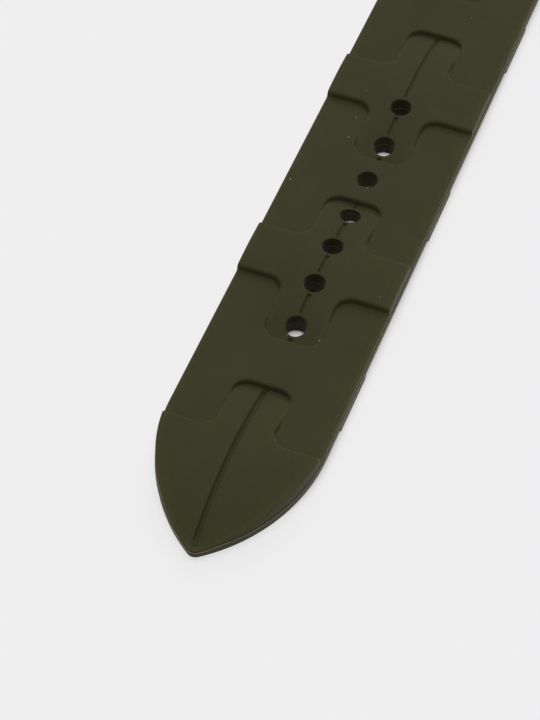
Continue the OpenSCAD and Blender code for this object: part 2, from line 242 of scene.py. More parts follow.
class Arc:
    """A round stretch. A positive turn, in degrees, has the material inside it."""

    def __init__(self, centre, radius, start, turn):
        self.centre, self.radius = np.array(centre, float), radius
        self.begin, self.turn = math.radians(start), math.radians(turn)

    def points(self, offset, step):
        """Points along the stretch, moved out by an offset."""
        count = max(3, math.ceil(abs(self.turn) * self.radius / step))
        angle = np.linspace(self.begin, self.begin + self.turn, count + 1)
        radius = self.radius + math.copysign(1, self.turn) * offset
        return self.centre + radius * np.stack([np.cos(angle), np.sin(angle)], axis=1)

    def distance(self, spots):
        """Distance of each spot, positive on the outer side."""
        way = math.copysign(1, self.turn)
        offset = spots - self.centre
        reach = np.linalg.norm(offset, axis=1)
        angle = np.arctan2(offset[:, 1], offset[:, 0])
        past = np.mod((angle - self.begin) * way, 2 * math.pi) > abs(self.turn) + 1e-9
        ends = self.points(0, 2 * abs(self.turn) * self.radius)[[0, -1]]
        to_end = np.min([np.linalg.norm(spots - end, axis=1) for end in ends], axis=0)
        gap = np.where(past, to_end, np.abs(reach - self.radius))
        return np.where((reach - self.radius) * way >= 0, gap, -gap)


def nearest(pieces, spots):
    """Signed distance of each spot from the nearest stretch of an outline."""
    best = np.full(len(spots), 1e3)
    for piece in pieces:
        gap = piece.distance(spots)
        best = np.where(np.abs(gap) < np.abs(best), gap, best)
    return best


def trace(pieces, offset, step):
    """One run of points along joined stretches, moved out by an offset."""
    run = np.vstack([piece.points(offset, step) for piece in pieces])
    keep = np.r_[True, np.linalg.norm(np.diff(run, axis=0), axis=1) > 1e-5]
    return run[keep]


def inside(loop, spots):
    """Which spots lie inside a closed loop of points."""
    odd = np.zeros(len(spots), bool)
    x, y = spots[:, 0], spots[:, 1]
    for (ax, ay), (bx, by) in zip(loop, np.roll(loop, -1, axis=0)):
        if ay != by:
            crosses = ((ay > y) != (by > y)) & (x < (bx - ax) * (y - ay) / (by - ay) + ax)
            odd ^= crosses
    return odd


def long_outline(s):
    """The long half: its rounded point, curved flanks, straight sides and bar end."""
    flank = (s.point_length ** 2 + HALF_WIDTH ** 2) / (2 * HALF_WIDTH)
    offset = flank - HALF_WIDTH
    nose = -math.sqrt((flank - s.point_round) ** 2 - offset ** 2)
    start = TIP_Y - nose + s.point_round
    lean = -math.degrees(math.atan2(nose, offset))
    end = LONG_BAR[0] + s.bar_round
    sides = [
        Arc((-offset, start), flank, -lean, lean),
        Line((HALF_WIDTH, start), (HALF_WIDTH, end)),
        Line((-HALF_WIDTH, end), (-HALF_WIDTH, start)),
        Arc((offset, start), flank, 180, lean),
        Arc((0, start + nose), s.point_round, 180 + lean, 180 - 2 * lean),
    ]
    ends = [Line((HALF_WIDTH, end), (-HALF_WIDTH, end))]
    return sides[:2] + ends + sides[2:], sides, ends


def short_outline(s, keeper_y):
    """The short half: straight sides with notches, and a slot for the tang."""
    low, high = SHORT_BAR[0] - s.bar_round, BUCKLE_BAR[0] + s.bar_round
    near, far = keeper_y - s.notch_length / 2, keeper_y + s.notch_length / 2
    deep, slot = HALF_WIDTH - s.notch_depth, s.slot_width / 2
    slot_y = BUCKLE_BAR[0] - s.slot_length + slot
    right = [(HALF_WIDTH, low), (HALF_WIDTH, near), (deep, near), (deep, far),
             (HALF_WIDTH, far), (HALF_WIDTH, high)]
    left = [(-x, y) for x, y in reversed(right)]
    side = [Line(a, b) for run in (right, left) for a, b in zip(run, run[1:])]
    cut = [Line((slot, high), (slot, slot_y)), Arc((0, slot_y), slot, 0, -180),
           Line((-slot, slot_y), (-slot, high))]
    caps = [Line(right[-1], (slot, high)), Line((-slot, high), left[0]),
            Line(left[-1], right[0])]
    whole = side[:5] + caps[:1] + cut + caps[1:2] + side[5:] + caps[2:]
    return whole, side + cut, caps


def tongue_edge(s, y, way):
    """The edge of a plate towards way * Y: body edges, root fillets and a tongue."""
    body, wide, reach = s.body_length / 2, s.tongue_width / 2, 2 * HALF_WIDTH
    tip, root, corner = body + s.tongue_length, s.root_round, s.tongue_round
    pieces = [
        Line((reach, body), (wide + root, body)),
        Arc((wide + root, body + root), root, 270, -90),
        Line((wide, body + root), (wide, tip - corner)),
        Arc((wide - corner, tip - corner), corner, 0, 90),
        Line((wide - corner, tip), (corner - wide, tip)),
        Arc((corner - wide, tip - corner), corner, 90, 90),
        Line((-wide, tip - corner), (-wide, body + root)),
        Arc((-wide - root, body + root), root, 0, -90),
        Line((-wide - root, body), (-reach, body)),
    ]
    for piece in pieces:
        turn_and_place(piece, y, way)
    return pieces


def turn_and_place(piece, y, way):
    """Turns a stretch half round the origin where way is -1, and moves it along Y."""
    shift = np.array((0, y))
    if isinstance(piece, Line):
        piece.start, piece.end = way * piece.start + shift, way * piece.end + shift
        piece.way, piece.out = way * piece.way, way * piece.out
    else:
        piece.centre = way * piece.centre + shift
        piece.begin += 0 if way > 0 else math.pi


# A strap half as a closed blank, flat above and below, that carries what its relief needs

# Spacing of the blank's points in millimetres, and how many make up a row and a hole
OUTLINE_SPACING = 0.8
STEP_SPACING = 0.35
GROOVE_SPACING = 0.6
ROW_POINTS = 25
HOLE_POINTS = 48

# The grid between them, in millimetres: its spacing across and along, where it starts, the
# size of its waves, and its room to the lines, for a groove as a share of its half width
GRID_SPACING = (0.84, 0.8)
GRID_START = 0.5
GRID_WAVE = 0.2
GRID_ROOM = 0.2
GRID_GROOVE_ROOM = 0.7

# The shortest stretch of a groove that is made, in millimetres
SHORTEST_GROOVE = 0.2

# Rows of points over a rounded edge, a pad's edge, a step, a hole's rim, a groove's flank
# and a round end, as shares of its radius or width
EDGE_SHARES = (0.06, 0.2, 0.42, 0.7, 1.0)
PAD_SHARES = (-0.12, 0, *EDGE_SHARES)
STEP_SHARES = (0.0, 0.04, 0.13, 0.28, 0.46, 0.7, 1.0)
HOLE_SHARES = (0.0, 0.08, 0.25, 0.55, 1.0)
GROOVE_SHARES = (0.0, 0.1, 0.2, 0.3, 0.4, 0.5, 0.75)
END_SHARES = [math.sin(math.radians(a)) for a in range(-75, 90, 7)] + [0.999]

# Shares of a step's height that its rounded rim and its foot take up
STEP_RIM_SHARE = 0.45
STEP_ROOT_SHARE = 0.2

# The wall's rows of points round the parting line: height over the line in millimetres,
# share of the line's full reach, and share of the polished flanks' gloss
PARTING_WALL = [(0.16, 0.0, 0.5), (0.1, -0.4, 0.5), (0.05, -0.3, 0.5), (0.04, 1.0, 0.5),
                (-0.04, 1.0, 0.4), (-0.07, 0.1, 0.4), (-0.16, 0.0, 0.4)]
HOLE_PARTING_SHARE = 0.35

# Share of the polished flanks' gloss at their upper and lower edge
EDGE_GLOSS = (0.25, 0.4)

# Wear and a painted highlight close to the outer edges, in a wider band there, and along the
# steps: how strong it is, and over how many millimetres it fades
CLOSE_WEAR_AND_HIGHLIGHT = (0.9, 0.2)
WIDE_WEAR_AND_HIGHLIGHT = (0.15, 1.0)
STEP_WEAR_AND_HIGHLIGHT = (0.4, 0.35)


class Blank:
    """Collects the points and lines seen from above, and joins them up in triangles."""

    def __init__(self):
        self.points, self.edges = [], []

    def add(self, run, closed=False):
        """Adds a line through a run of points."""
        first, count = len(self.points), len(run)
        self.points.extend(map(tuple, run))
        self.edges.extend((first + i, first + i + 1) for i in range(count - 1))
        if closed:
            self.edges.append((first + count - 1, first))

    def triangles(self, loop, holes):
        """Points and triangles inside the loop and outside the holes."""
        found = delaunay_2d_cdt([Vector(p) for p in self.points], self.edges, [], 0, 1e-5)
        spots = np.array([tuple(p) for p in found[0]])
        faces = np.array([face[:] for face in found[2]])
        middle = spots[faces].mean(axis=1)
        keep = inside(loop, middle)
        for y in holes:
            keep &= np.hypot(middle[:, 0], middle[:, 1] - y) > HOLE_RADIUS * 0.99
        used, faces = np.unique(faces[keep], return_inverse=True)
        return spots[used], faces.reshape(-1, 3)


def across(row):
    """A row of points across the strap and past both its sides."""
    reach = HALF_WIDTH + 1
    return [(x, row) for x in np.linspace(-reach, reach, ROW_POINTS)]


def rings(s):
    """Offsets of the lines of points on both sides of a step."""
    reach = max(s.step_rim, s.step_root)
    return [side * (s.step_draft / 2 + reach * share)
            for side in (-1, 1) for share in STEP_SHARES]


def quarter(share):
    """Drop of a rounded edge at a share of its radius from the rim, as a share of it."""
    return 1 - np.sqrt(np.clip(1 - (1 - np.clip(share, 0, 1)) ** 2, 0, 1))


def step_mask(gap, rises, s):
    """How much of a plate's height counts at a signed distance from its outline.

    rises says where the plate stands over the base; where it dips below, the rounded rim
    and the foot of the step change sides.
    """
    lean = s.step_draft / 2
    away = np.where(rises, gap, -gap)
    rim, root = STEP_RIM_SHARE, STEP_ROOT_SHARE
    top = 1 - rim * quarter((-away - lean) / s.step_rim)
    foot = root * quarter((away - lean) / s.step_root)
    wall = root + (1 - rim - root) * (lean - away) / (2 * lean)
    upper = np.where(away < -lean, top, np.where(away > lean, foot, wall))
    return np.where(rises, upper, 1 - upper)


def fading_wear_and_highlight(gap, strength, fade):
    """How much wear and painted highlight the strap shows at a distance from an edge."""
    return strength * np.exp(-np.abs(gap) / fade)


def point_share(s, y):
    """How far a place lies towards the tip: 0 where the point starts, 1 at its end."""
    return np.clip((TIP_Y + s.point_length - y) / s.point_length, 0, 1)


def box_gap(spots, low, high):
    """Signed distance of each spot from an upright box, positive outside it."""
    middle, half = (np.array(low) + high) / 2, (np.array(high) - low) / 2
    past = np.abs(spots - middle) - half
    outer = np.linalg.norm(np.maximum(past, 0), axis=1)
    return outer + np.minimum(past.max(axis=1), 0)


def groove_runs(s, plates, holes):
    """Where the middle groove runs, in Y, with a gap round each hole, and its half width."""
    runs = []
    for y, down, up in plates:
        half = s.body_length / 2 + s.tongue_length
        start = y - half if down is None else y - down
        stop = y + half if up is None else y + up
        wide = (s.groove_width if down is None or not up is None else s.point_groove) / 2
        gap = HOLE_RADIUS + s.groove_width / 2
        cuts = [hole for hole in holes if start - gap < hole < stop + gap]
        edges = [start] + [e for hole in cuts for e in (hole - gap, hole + gap)] + [stop]
        runs += [(a, b, wide) for a, b in zip(edges[::2], edges[1::2])
                 if b - a > SHORTEST_GROOVE]
    return runs


class Plan:
    """A strap half seen from above.

    plates holds (y, groove reach down, groove reach up) for each raised plate, where a
    reach of None means a tongue. pads and holes are lists of y, bars the (y, way) of each
    round end, and lift the height of the half's underside.
    """

    def __init__(self, s, outline, plates, pads, holes, bars, lift):
        self.s, self.pads, self.holes, self.bars, self.lift = s, pads, holes, bars, lift
        self.whole, self.sides, self.ends = outline
        self.loop = trace(self.whole, 0, OUTLINE_SPACING)
        self.middles = np.array([y for y, down, up in plates])
        self.chains = [tongue_edge(s, y, way) for y, down, up in plates
                       for way, reach in ((-1, down), (1, up)) if reach is None]
        self.edges = [piece for chain in self.chains for piece in chain]
        self.runs = groove_runs(s, plates, holes)

    def groove_gap(self, spots):
        """Distance from the nearest groove, as a share of its half width."""
        gaps = [box_gap(spots, (-half, a), (half, b)) / half for a, b, half in self.runs]
        return np.min(gaps, axis=0)

    def groove_width(self, spots):
        """Width of the nearest groove, as a share of the point's groove."""
        gaps = [box_gap(spots, (-half, a), (half, b)) for a, b, half in self.runs]
        halves = np.array([half for a, b, half in self.runs])
        return 2 * halves[np.argmin(gaps, axis=0)] / self.s.point_groove

    def hole_gap(self, spots):
        """Distance from the nearest hole's edge."""
        gaps = [np.hypot(spots[:, 0], spots[:, 1] - y) - HOLE_RADIUS for y in self.holes]
        return np.min(gaps, axis=0) if gaps else np.full(len(spots), 1e3)

    def lines(self):
        """The blank's lines, close together wherever the relief bends."""
        s, blank = self.s, Blank()
        blank.add(self.loop, closed=True)
        for share in EDGE_SHARES:
            for piece in self.sides:
                blank.add(piece.points(-s.edge_round * share, OUTLINE_SPACING))
        for chain in self.chains:
            for offset in rings(s):
                blank.add(trace(chain, offset, STEP_SPACING))
        for y in self.pads:
            for way in (-1, 1):
                for share in PAD_SHARES:
                    blank.add(across(y + way * (s.pad_length / 2 - s.pad_round * share)))
        angle = np.linspace(0, 2 * math.pi, HOLE_POINTS, endpoint=False)
        for y in self.holes:
            for share in HOLE_SHARES:
                radius = HOLE_RADIUS + share * s.hole_round
                rim = np.stack([radius * np.cos(angle), y + radius * np.sin(angle)], 1)
                blank.add(rim, closed=True)
        for start, stop, half in self.runs:
            for share in GROOVE_SHARES:
                inset = share * half
                x, low, high = half - inset, start + inset, stop - inset
                rows = np.linspace(low, high, max(2, round((high - low) / GROOVE_SPACING)))
                blank.add([(-x, y) for y in rows] + [(x, y) for y in rows[::-1]], closed=True)
        for y, way in self.bars:
            for share in END_SHARES:
                blank.add(across(y + way * s.bar_round * share))
        return blank

    def grid(self):
        """Points over the even parts, on a slightly bent grid that is clear of all lines."""
        s = self.s
        low, high = self.loop[:, 1].min(), self.loop[:, 1].max()
        xs = np.arange(-HALF_WIDTH + GRID_START, HALF_WIDTH, GRID_SPACING[0])
        ys = np.arange(low + GRID_START, high, GRID_SPACING[1])
        grid = np.stack(np.meshgrid(xs, ys), -1).reshape(-1, 2)
        grid[:, 0] += GRID_WAVE * np.sin(grid[:, 1] * 5)
        step = s.step_draft / 2 + max(s.step_rim, s.step_root)
        free = inside(self.loop, grid)
        free &= np.abs(nearest(self.whole, grid)) > s.edge_round + GRID_ROOM
        free &= np.abs(nearest(self.edges, grid)) > step + GRID_ROOM
        free &= np.abs(self.groove_gap(grid)) > GRID_GROOVE_ROOM
        free &= self.hole_gap(grid) > s.hole_round + GRID_ROOM
        free &= np.all([np.abs((grid[:, 1] - y) * way - GRID_ROOM) > s.bar_round + 0.1
                        for y, way in self.bars], axis=0)
        return grid[free]

    def relief(self, spots):
        """What the relief and the materials read at each point of a sheet."""
        s, y = self.s, spots[:, 1]
        along = y - self.middles[np.argmin(np.abs(spots[:, 1:] - self.middles), axis=1)]
        along -= s.point_droop * point_share(s, y) ** 2
        crown = s.crown_height - s.crown_radius + np.sqrt(s.crown_radius ** 2 - along ** 2)
        gap, side = nearest(self.edges, spots), nearest(self.sides, spots)
        plate = step_mask(gap, crown > 0, s)
        pad_gap = np.min([np.abs(y - pad) - s.pad_length / 2 for pad in self.pads], axis=0)
        end = np.max([(y - bar) * way for bar, way in self.bars], axis=0)
        groove = 0.5 - 0.5 * np.cos(np.clip(-2 * self.groove_gap(spots), 0, 1) * math.pi)
        # The edge tint's share: real wear plus a painted highlight, along the outer edges and
        # the steps' raised rims
        wear_and_highlight = fading_wear_and_highlight(side, *CLOSE_WEAR_AND_HIGHLIGHT) + fading_wear_and_highlight(side, *WIDE_WEAR_AND_HIGHLIGHT)
        return {
            "plate": plate,
            "along": along * MM,
            "groove": groove * self.groove_width(spots),
            "pad": 1 - quarter(-pad_gap / s.pad_round),
            "slab": (end <= 1e-6) * 1.0,
            "end": end * MM,
            "rim": quarter(np.abs(side) / s.edge_round),
            "hole_rim": quarter(self.hole_gap(spots) / s.hole_round),
            "wear_and_highlight": wear_and_highlight + fading_wear_and_highlight(gap, *STEP_WEAR_AND_HIGHLIGHT) * (plate > 0.5),
        }

    def parting(self, spot):
        """Height of the parting line at a spot on the boundary."""
        s = self.s
        near = [y for y in self.holes if math.hypot(spot[0], spot[1] - y) < HOLE_RADIUS + 0.05]
        if not near:
            return self.lift + s.parting_height
        if any(abs(near[0] - y) < s.pad_length / 2 for y in self.pads):
            return self.lift + s.pad_height / 2
        middle = np.min(np.abs(self.middles - near[0]))
        drop = s.crown_radius - math.sqrt(s.crown_radius ** 2 - middle ** 2)
        return self.lift + s.pad_height + (s.base_thickness + s.crown_height - drop) / 2

    def wall(self, spots, border):
        """The wall's points, a column at each boundary spot, and where each column starts.

        A row of the result holds x, y, the spot's index, and the parting, rise, flash (pale
        rubber and painted highlight) and flank that are stored at the point.
        """
        s = self.s
        normal = {}
        for a, b in border:
            way = spots[b] - spots[a]
            out = np.array((way[1], -way[0])) / np.linalg.norm(way)
            for index in (a, b):
                normal[index] = normal.get(index, 0) + out
        fade = np.clip(np.abs(nearest(self.ends, spots)) / s.parting_fade, 0, 1)
        around = np.abs(nearest(self.whole, spots)) < 0.02
        rows, starts = [], {}
        for index, out in normal.items():
            out = out / np.linalg.norm(out)
            starts[index] = 2 * len(spots) + len(rows)
            height = self.parting(spots[index])
            share = fade[index] if around[index] else HOLE_PARTING_SHARE
            for rise, proud, glossy in PARTING_WALL:
                place = spots[index] + out * (share * proud * s.parting_proud)
                # The flash share paints the parting line paler: thin rubber and a painted
                # highlight along its ridge
                rows.append((*place, index, height * MM, rise * MM, share * max(proud, 0),
                             glossy * around[index]))
        return np.array(rows), starts, around


def closed_blank(name, plan):
    """A half's two sheets of triangles and the wall between them, with attributes."""
    s, blank = plan.s, plan.lines()
    blank.points.extend(map(tuple, plan.grid()))
    spots, faces = blank.triangles(plan.loop, plan.holes)
    count = len(spots)
    keys = {(a, b) for k in range(3) for a, b in faces[:, [k, (k + 1) % 3]].tolist()}
    border = [(a, b) for a, b in keys if (b, a) not in keys]
    wall, starts, around = plan.wall(spots, border)
    places = np.vstack([np.c_[spots, np.ones(count)], np.c_[spots, np.zeros(count)],
                        np.c_[wall[:, :2], np.full(len(wall), 0.5)]])
    polygons = [tuple(face) for face in faces.tolist()]
    polygons += [(c + count, b + count, a + count) for a, b, c in faces.tolist()]
    column = range(len(PARTING_WALL))
    for a, b in border:
        down_a, down_b = [[top, *(starts[top] + k for k in column), top + count]
                          for top in (a, b)]
        for k in range(len(down_a) - 1):
            polygons.append((down_b[k], down_a[k], down_a[k + 1]))
            polygons.append((down_b[k], down_a[k + 1], down_b[k + 1]))
    level = places[:, 2].copy()
    point = point_share(s, places[:, 1])
    places[:, :2] += point[:, None] ** 2 * (s.point_lean, s.point_back)
    places[:, :2] *= MM
    mesh = bpy.data.meshes.new(name)
    mesh.from_pydata(places.tolist(), [], polygons)

    # Grooves, and the wear with its painted highlight, stay off the underside
    source = np.r_[np.arange(count), np.arange(count), wall[:, 2]].astype(int)
    stored = {key: values[source] for key, values in plan.relief(spots).items()}
    for key in ("groove", "wear_and_highlight"):
        stored[key] = stored[key] * (level > 0.2)
    stored["level"] = level
    none = np.zeros(count)
    stored["parting"] = np.r_[none, none, wall[:, 3]]
    stored["rise"] = np.r_[none, none, wall[:, 4]]
    stored["flash_and_highlight"] = np.r_[none, none, wall[:, 5]]
    stored["flank"] = np.r_[EDGE_GLOSS[0] * around, EDGE_GLOSS[1] * around, wall[:, 6]]
    for key, values in stored.items():
        layer = mesh.attributes.new(key, "FLOAT", "POINT")
        layer.data.foreach_set("value", np.ascontiguousarray(values, dtype=np.float32))
    mesh.update()
    return mesh


# Node trees

def node(tree, kind, inputs=(), **settings):
    """Adds a node, sets it up, and links or fills its inputs by place or name.

    Where an input is given as a node, that node's first output is linked to it.
    """
    made = tree.nodes.new(kind)
    for key, value in settings.items():
        setattr(made, key, value)
    pairs = inputs.items() if isinstance(inputs, dict) else enumerate(inputs)
    for key, value in pairs:
        source = value.outputs[0] if isinstance(value, bpy.types.Node) else value
        if isinstance(source, bpy.types.NodeSocket):
            tree.links.new(source, made.inputs[key])
        else:
            made.inputs[key].default_value = source
    return made


def new_tree(name, sizes):
    """A Geometry Nodes tree with a geometry input and named lengths."""
    tree = bpy.data.node_groups.new(name, "GeometryNodeTree")
    tree.interface.new_socket("Geometry", in_out="INPUT", socket_type="NodeSocketGeometry")
    for label, default in sizes.items():
        kind = "NodeSocketInt" if isinstance(default, int) else "NodeSocketFloat"
        socket = tree.interface.new_socket(label, in_out="INPUT", socket_type=kind)
        socket.default_value = default
    tree.interface.new_socket("Geometry", in_out="OUTPUT", socket_type="NodeSocketGeometry")
    return tree, node(tree, "NodeGroupInput").outputs


def close_tree(tree, geometry, material):
    """Ends a tree in smooth shading, Realize Instances and Set Material."""
    smooth = node(tree, "GeometryNodeSetShadeSmooth", {"Geometry": geometry})
    real = node(tree, "GeometryNodeRealizeInstances", [smooth])
    painted = node(tree, "GeometryNodeSetMaterial", {"Geometry": real, "Material": material})
    node(tree, "NodeGroupOutput", [painted])


# The relief's sums in order: the result, the operation and its terms, each of them a named
# input of the tree, an attribute of the blank, an earlier result or a plain value
WALL_ROOM = (PARTING_WALL[0][0] + 0.01) * MM
RELIEF_SUMS = (
    # Height of the crowned plates and of the upper side between them
    ("chord", "MULTIPLY", "Crown radius", "Crown radius"),
    ("offset", "MULTIPLY", "along", "along"),
    ("chord", "SUBTRACT", "chord", "offset"),
    ("crown", "SQRT", "chord"),
    ("crown", "SUBTRACT", "crown", "Crown radius"),
    ("crown", "ADD", "crown", "Crown height"),
    ("raised", "MULTIPLY", "crown", "plate"),
    ("cut", "MULTIPLY", "groove", "Groove depth"),
    ("top", "ADD", "Base thickness", "Pad height"),
    ("top", "ADD", "top", "raised"),
    ("top", "SUBTRACT", "top", "cut"),
    ("top", "MULTIPLY", "top", "slab"),
    # Height of the underside and its pads, with none of it beyond a bar
    ("beyond", "SUBTRACT", 1.0, "slab"),
    ("low", "SUBTRACT", 1.0, "pad"),
    ("low", "MULTIPLY", "low", "Pad height"),
    ("low", "ADD", "low", "beyond"),
    # Both run over into the round ends about the bars
    ("swell", "MULTIPLY", "Bar end radius", "Bar end radius"),
    ("reach", "MULTIPLY", "end", "end"),
    ("swell", "SUBTRACT", "swell", "reach"),
    ("swell", "MAXIMUM", "swell", 0.0),
    ("swell", "SQRT", "swell"),
    ("crest", "ADD", "Bar end radius", "swell"),
    ("keel", "SUBTRACT", "Bar end radius", "swell"),
    ("top", "SMOOTH_MAX", "top", "crest", 0.25 * MM),
    ("low", "SMOOTH_MIN", "low", "keel", 0.25 * MM),
    # Rounded edges, sharper below than above
    ("thick", "SUBTRACT", "top", "low"),
    ("drop", "MULTIPLY", "thick", 0.45),
    ("drop", "MINIMUM", "drop", "Edge radius"),
    ("drop", "MULTIPLY", "drop", "rim"),
    ("hole drop", "MULTIPLY", "hole_rim", "Hole edge radius"),
    ("top", "SUBTRACT", "top", "drop"),
    ("top", "SUBTRACT", "top", "hole drop"),
    ("top", "ADD", "top", "Lift"),
    ("low drop", "MULTIPLY", "drop", 0.7),
    ("low", "ADD", "low", "low drop"),
    ("low", "ADD", "low", "Lift"),
    # Points of the two sheets, at level 1 and 0
    ("thick", "SUBTRACT", "top", "low"),
    ("sheet", "MULTIPLY", "thick", "level"),
    ("sheet", "ADD", "sheet", "low"),
    # Points of the wall, at level 0.5, which keep near the parting line and between the sheets
    ("share", "DIVIDE", "thick", 2 * WALL_ROOM),
    ("share", "MINIMUM", "share", 1.0),
    ("room", "MULTIPLY", "share", WALL_ROOM),
    ("least", "ADD", "low", "room"),
    ("most", "SUBTRACT", "top", "room"),
    ("line", "MAXIMUM", "parting", "least"),
    ("line", "MINIMUM", "line", "most"),
    ("above", "MULTIPLY", "rise", "share"),
    ("line", "ADD", "line", "above"),
    ("on wall", "COMPARE", "level", 0.5, 0.1),
    ("shift", "SUBTRACT", "line", "sheet"),
    ("shift", "MULTIPLY", "shift", "on wall"),
    ("height", "ADD", "sheet", "shift"),
)


def relief_tree(s, material):
    """Raises a blank: base, crowned plates, grooves, pads, round ends and rounded edges."""
    sizes = {
        "Lift": 0.0, "Base thickness": s.base_thickness * MM, "Pad height": s.pad_height * MM,
        "Crown height": s.crown_height * MM, "Crown radius": s.crown_radius * MM,
        "Groove depth": s.groove_depth * MM, "Edge radius": s.edge_round * MM,
        "Hole edge radius": s.hole_round * MM, "Bar end radius": s.bar_round * MM}
    tree, given = new_tree("Strap relief", sizes)
    values = {name: given[name] for name in sizes}
    for name in ("along", "plate", "groove", "slab", "pad", "end", "rim", "hole_rim",
                 "level", "parting", "rise"):
        values[name] = node(tree, "GeometryNodeInputNamedAttribute", {"Name": name},
                            data_type="FLOAT")
    for result, operation, *terms in RELIEF_SUMS:
        terms = [values.get(term, term) for term in terms]
        values[result] = node(tree, "ShaderNodeMath", terms, operation=operation)
    place = node(tree, "GeometryNodeInputPosition")
    x, y, z = node(tree, "ShaderNodeSeparateXYZ", [place]).outputs
    moved = node(tree, "ShaderNodeCombineXYZ", [x, y, values["height"]])
    raised = node(tree, "GeometryNodeSetPosition",
                  {"Geometry": given["Geometry"], "Position": moved})
    merged = node(tree, "GeometryNodeMergeByDistance",
                  {"Geometry": raised, "Distance": 0.002 * MM})
    close_tree(tree, merged, material)
    return tree


def loop_tree(material):
    """Sweeps a rounded rectangle round another one: a keeper's band."""
    tree, given = new_tree("Keeper band", {
        "Width": 0.026, "Height": 0.0125, "Corner radius": 0.0015, "Length": 0.006,
        "Wall": 0.0016, "Edge radius": 0.0004, "Y": 0.0, "Z": 0.0})
    loops = []
    for width, height, radius, count in (("Width", "Height", "Corner radius", 12),
                                         ("Wall", "Length", "Edge radius", 6)):
        flat = node(tree, "GeometryNodeCurvePrimitiveQuadrilateral",
                    {"Width": given[width], "Height": given[height]})
        loops.append(node(tree, "GeometryNodeFilletCurve",
                          {"Curve": flat, "Radius": given[radius], "Count": count},
                          mode="POLY"))
    band = node(tree, "GeometryNodeCurveToMesh", {"Curve": loops[0], "Profile Curve": loops[1]})
    place = node(tree, "ShaderNodeCombineXYZ", [0.0, given["Y"], given["Z"]])
    stood = node(tree, "GeometryNodeTransform", {
        "Geometry": band, "Translation": place, "Rotation": (math.pi / 2, 0, 0)})
    close_tree(tree, stood, material)
    return tree


def coil_tree(material):
    """Winds a round wire into a spring along X."""
    tree, given = new_tree("Coil spring", {
        "Length": 0.0169, "Wire": 0.0003, "Coil": 0.0012, "Pitch": 0.00055, "X": 0.0,
        "Y": 0.0, "Z": 0.0})
    height = node(tree, "ShaderNodeMath", [given["Length"], given["Wire"]],
                  operation="SUBTRACT")
    turns = node(tree, "ShaderNodeMath", [height, given["Pitch"]], operation="DIVIDE")
    across = node(tree, "ShaderNodeMath", [given["Coil"], given["Wire"]],
                  operation="SUBTRACT")
    radius = node(tree, "ShaderNodeMath", [across, 0.5], operation="MULTIPLY")
    wire_radius = node(tree, "ShaderNodeMath", [given["Wire"], 0.5], operation="MULTIPLY")
    start = node(tree, "ShaderNodeMath", [height, -0.5, given["X"]], operation="MULTIPLY_ADD")
    wound = node(tree, "GeometryNodeCurveSpiral", {
        "Resolution": 20, "Rotations": turns, "Start Radius": radius, "End Radius": radius,
        "Height": height})
    wire = node(tree, "GeometryNodeCurvePrimitiveCircle",
                {"Resolution": 8, "Radius": wire_radius})
    coil = node(tree, "GeometryNodeCurveToMesh", {
        "Curve": wound, "Profile Curve": wire, "Fill Caps": True})
    place = node(tree, "ShaderNodeCombineXYZ", [start, given["Y"], given["Z"]])
    laid = node(tree, "GeometryNodeTransform", {
        "Geometry": coil, "Translation": place, "Rotation": (0, math.pi / 2, 0)})
    close_tree(tree, laid, material)
    return tree


def run_tree(name, mesh, tree, values=None):
    """The plain mesh that a tree makes of a mesh, with its inputs set by socket identifier."""
    blank = bpy.data.objects.new(name, mesh)
    bpy.context.scene.collection.objects.link(blank)
    modifier = blank.modifiers.new(name, "NODES")
    modifier.node_group = tree
    for item in tree.interface.items_tree:
        if item.in_out == "INPUT" and values and item.name in values:
            modifier[item.identifier] = values[item.name]
    return made_real(blank)


def made_real(obj):
    """Turns an object's evaluated result into its own plain mesh, without modifiers."""
    bpy.context.view_layer.update()
    graph = bpy.context.evaluated_depsgraph_get()
    mesh = bpy.data.meshes.new_from_object(obj.evaluated_get(graph))
    obj.modifiers.clear()
    obj.data = mesh
    return obj


def combine(obj, others, operation="DIFFERENCE"):
    """Joins closed objects to one, or cuts them out of it, and removes them."""
    link_up = bpy.context.scene.collection.objects.link
    if obj.name not in bpy.context.scene.collection.objects:
        link_up(obj)
    for other in others:
        link_up(other)
        modifier = obj.modifiers.new("Join", "BOOLEAN")
        modifier.operation, modifier.solver, modifier.object = operation, "EXACT", other
    made_real(obj)
    for other in others:
        bpy.data.objects.remove(other)
    return obj


def loft(name, loops, place=Matrix(), tube=False):
    """A closed object through loops of points, in millimetres: a tube, or with flat ends."""
    shape = bmesh.new()
    rows = [[shape.verts.new(point) for point in loop] for loop in loops]
    for near, far in zip(rows, rows[1:] + rows[:1] if tube else rows[1:]):
        for k, corner in enumerate(near):
            shape.faces.new((near[k - 1], corner, far[k], far[k - 1]))
    if not tube:
        shape.faces.new(rows[0])
        shape.faces.new(rows[-1])
    bmesh.ops.recalc_face_normals(shape, faces=shape.faces)
    shape.transform(Matrix.Scale(MM, 4) @ place)
    mesh = bpy.data.meshes.new(name)
    shape.to_mesh(mesh)
    shape.free()
    return bpy.data.objects.new(name, mesh)


def turned(name, profile, place=Matrix(), tube=False, sides=48):
    """An object turned round X from (x, radius) pairs, with no corner at an axis's height."""
    angles = [2 * math.pi * (k + 0.5) / sides for k in range(sides)]
    loops = [[(x, r * math.cos(a), r * math.sin(a)) for a in angles] for x, r in profile]
    return loft(name, loops, place, tube)


def rod(radius, low, high, place):
    """A plain closed rod along X."""
    return turned("rod", [(low, radius), (high, radius)], place)


def block(low, high, place=Matrix()):
    """A closed block between two corners."""
    (x, y, z), (a, b, c) = low, high
    return loft("block", [[(end, y, z), (end, b, z), (end, b, c), (end, y, c)]
                          for end in (x, a)], place)


# Angles, in radians, of the rows of points over a rounded edge
ROUND_STEPS = [math.radians(a) for a in range(0, 91, 18)]


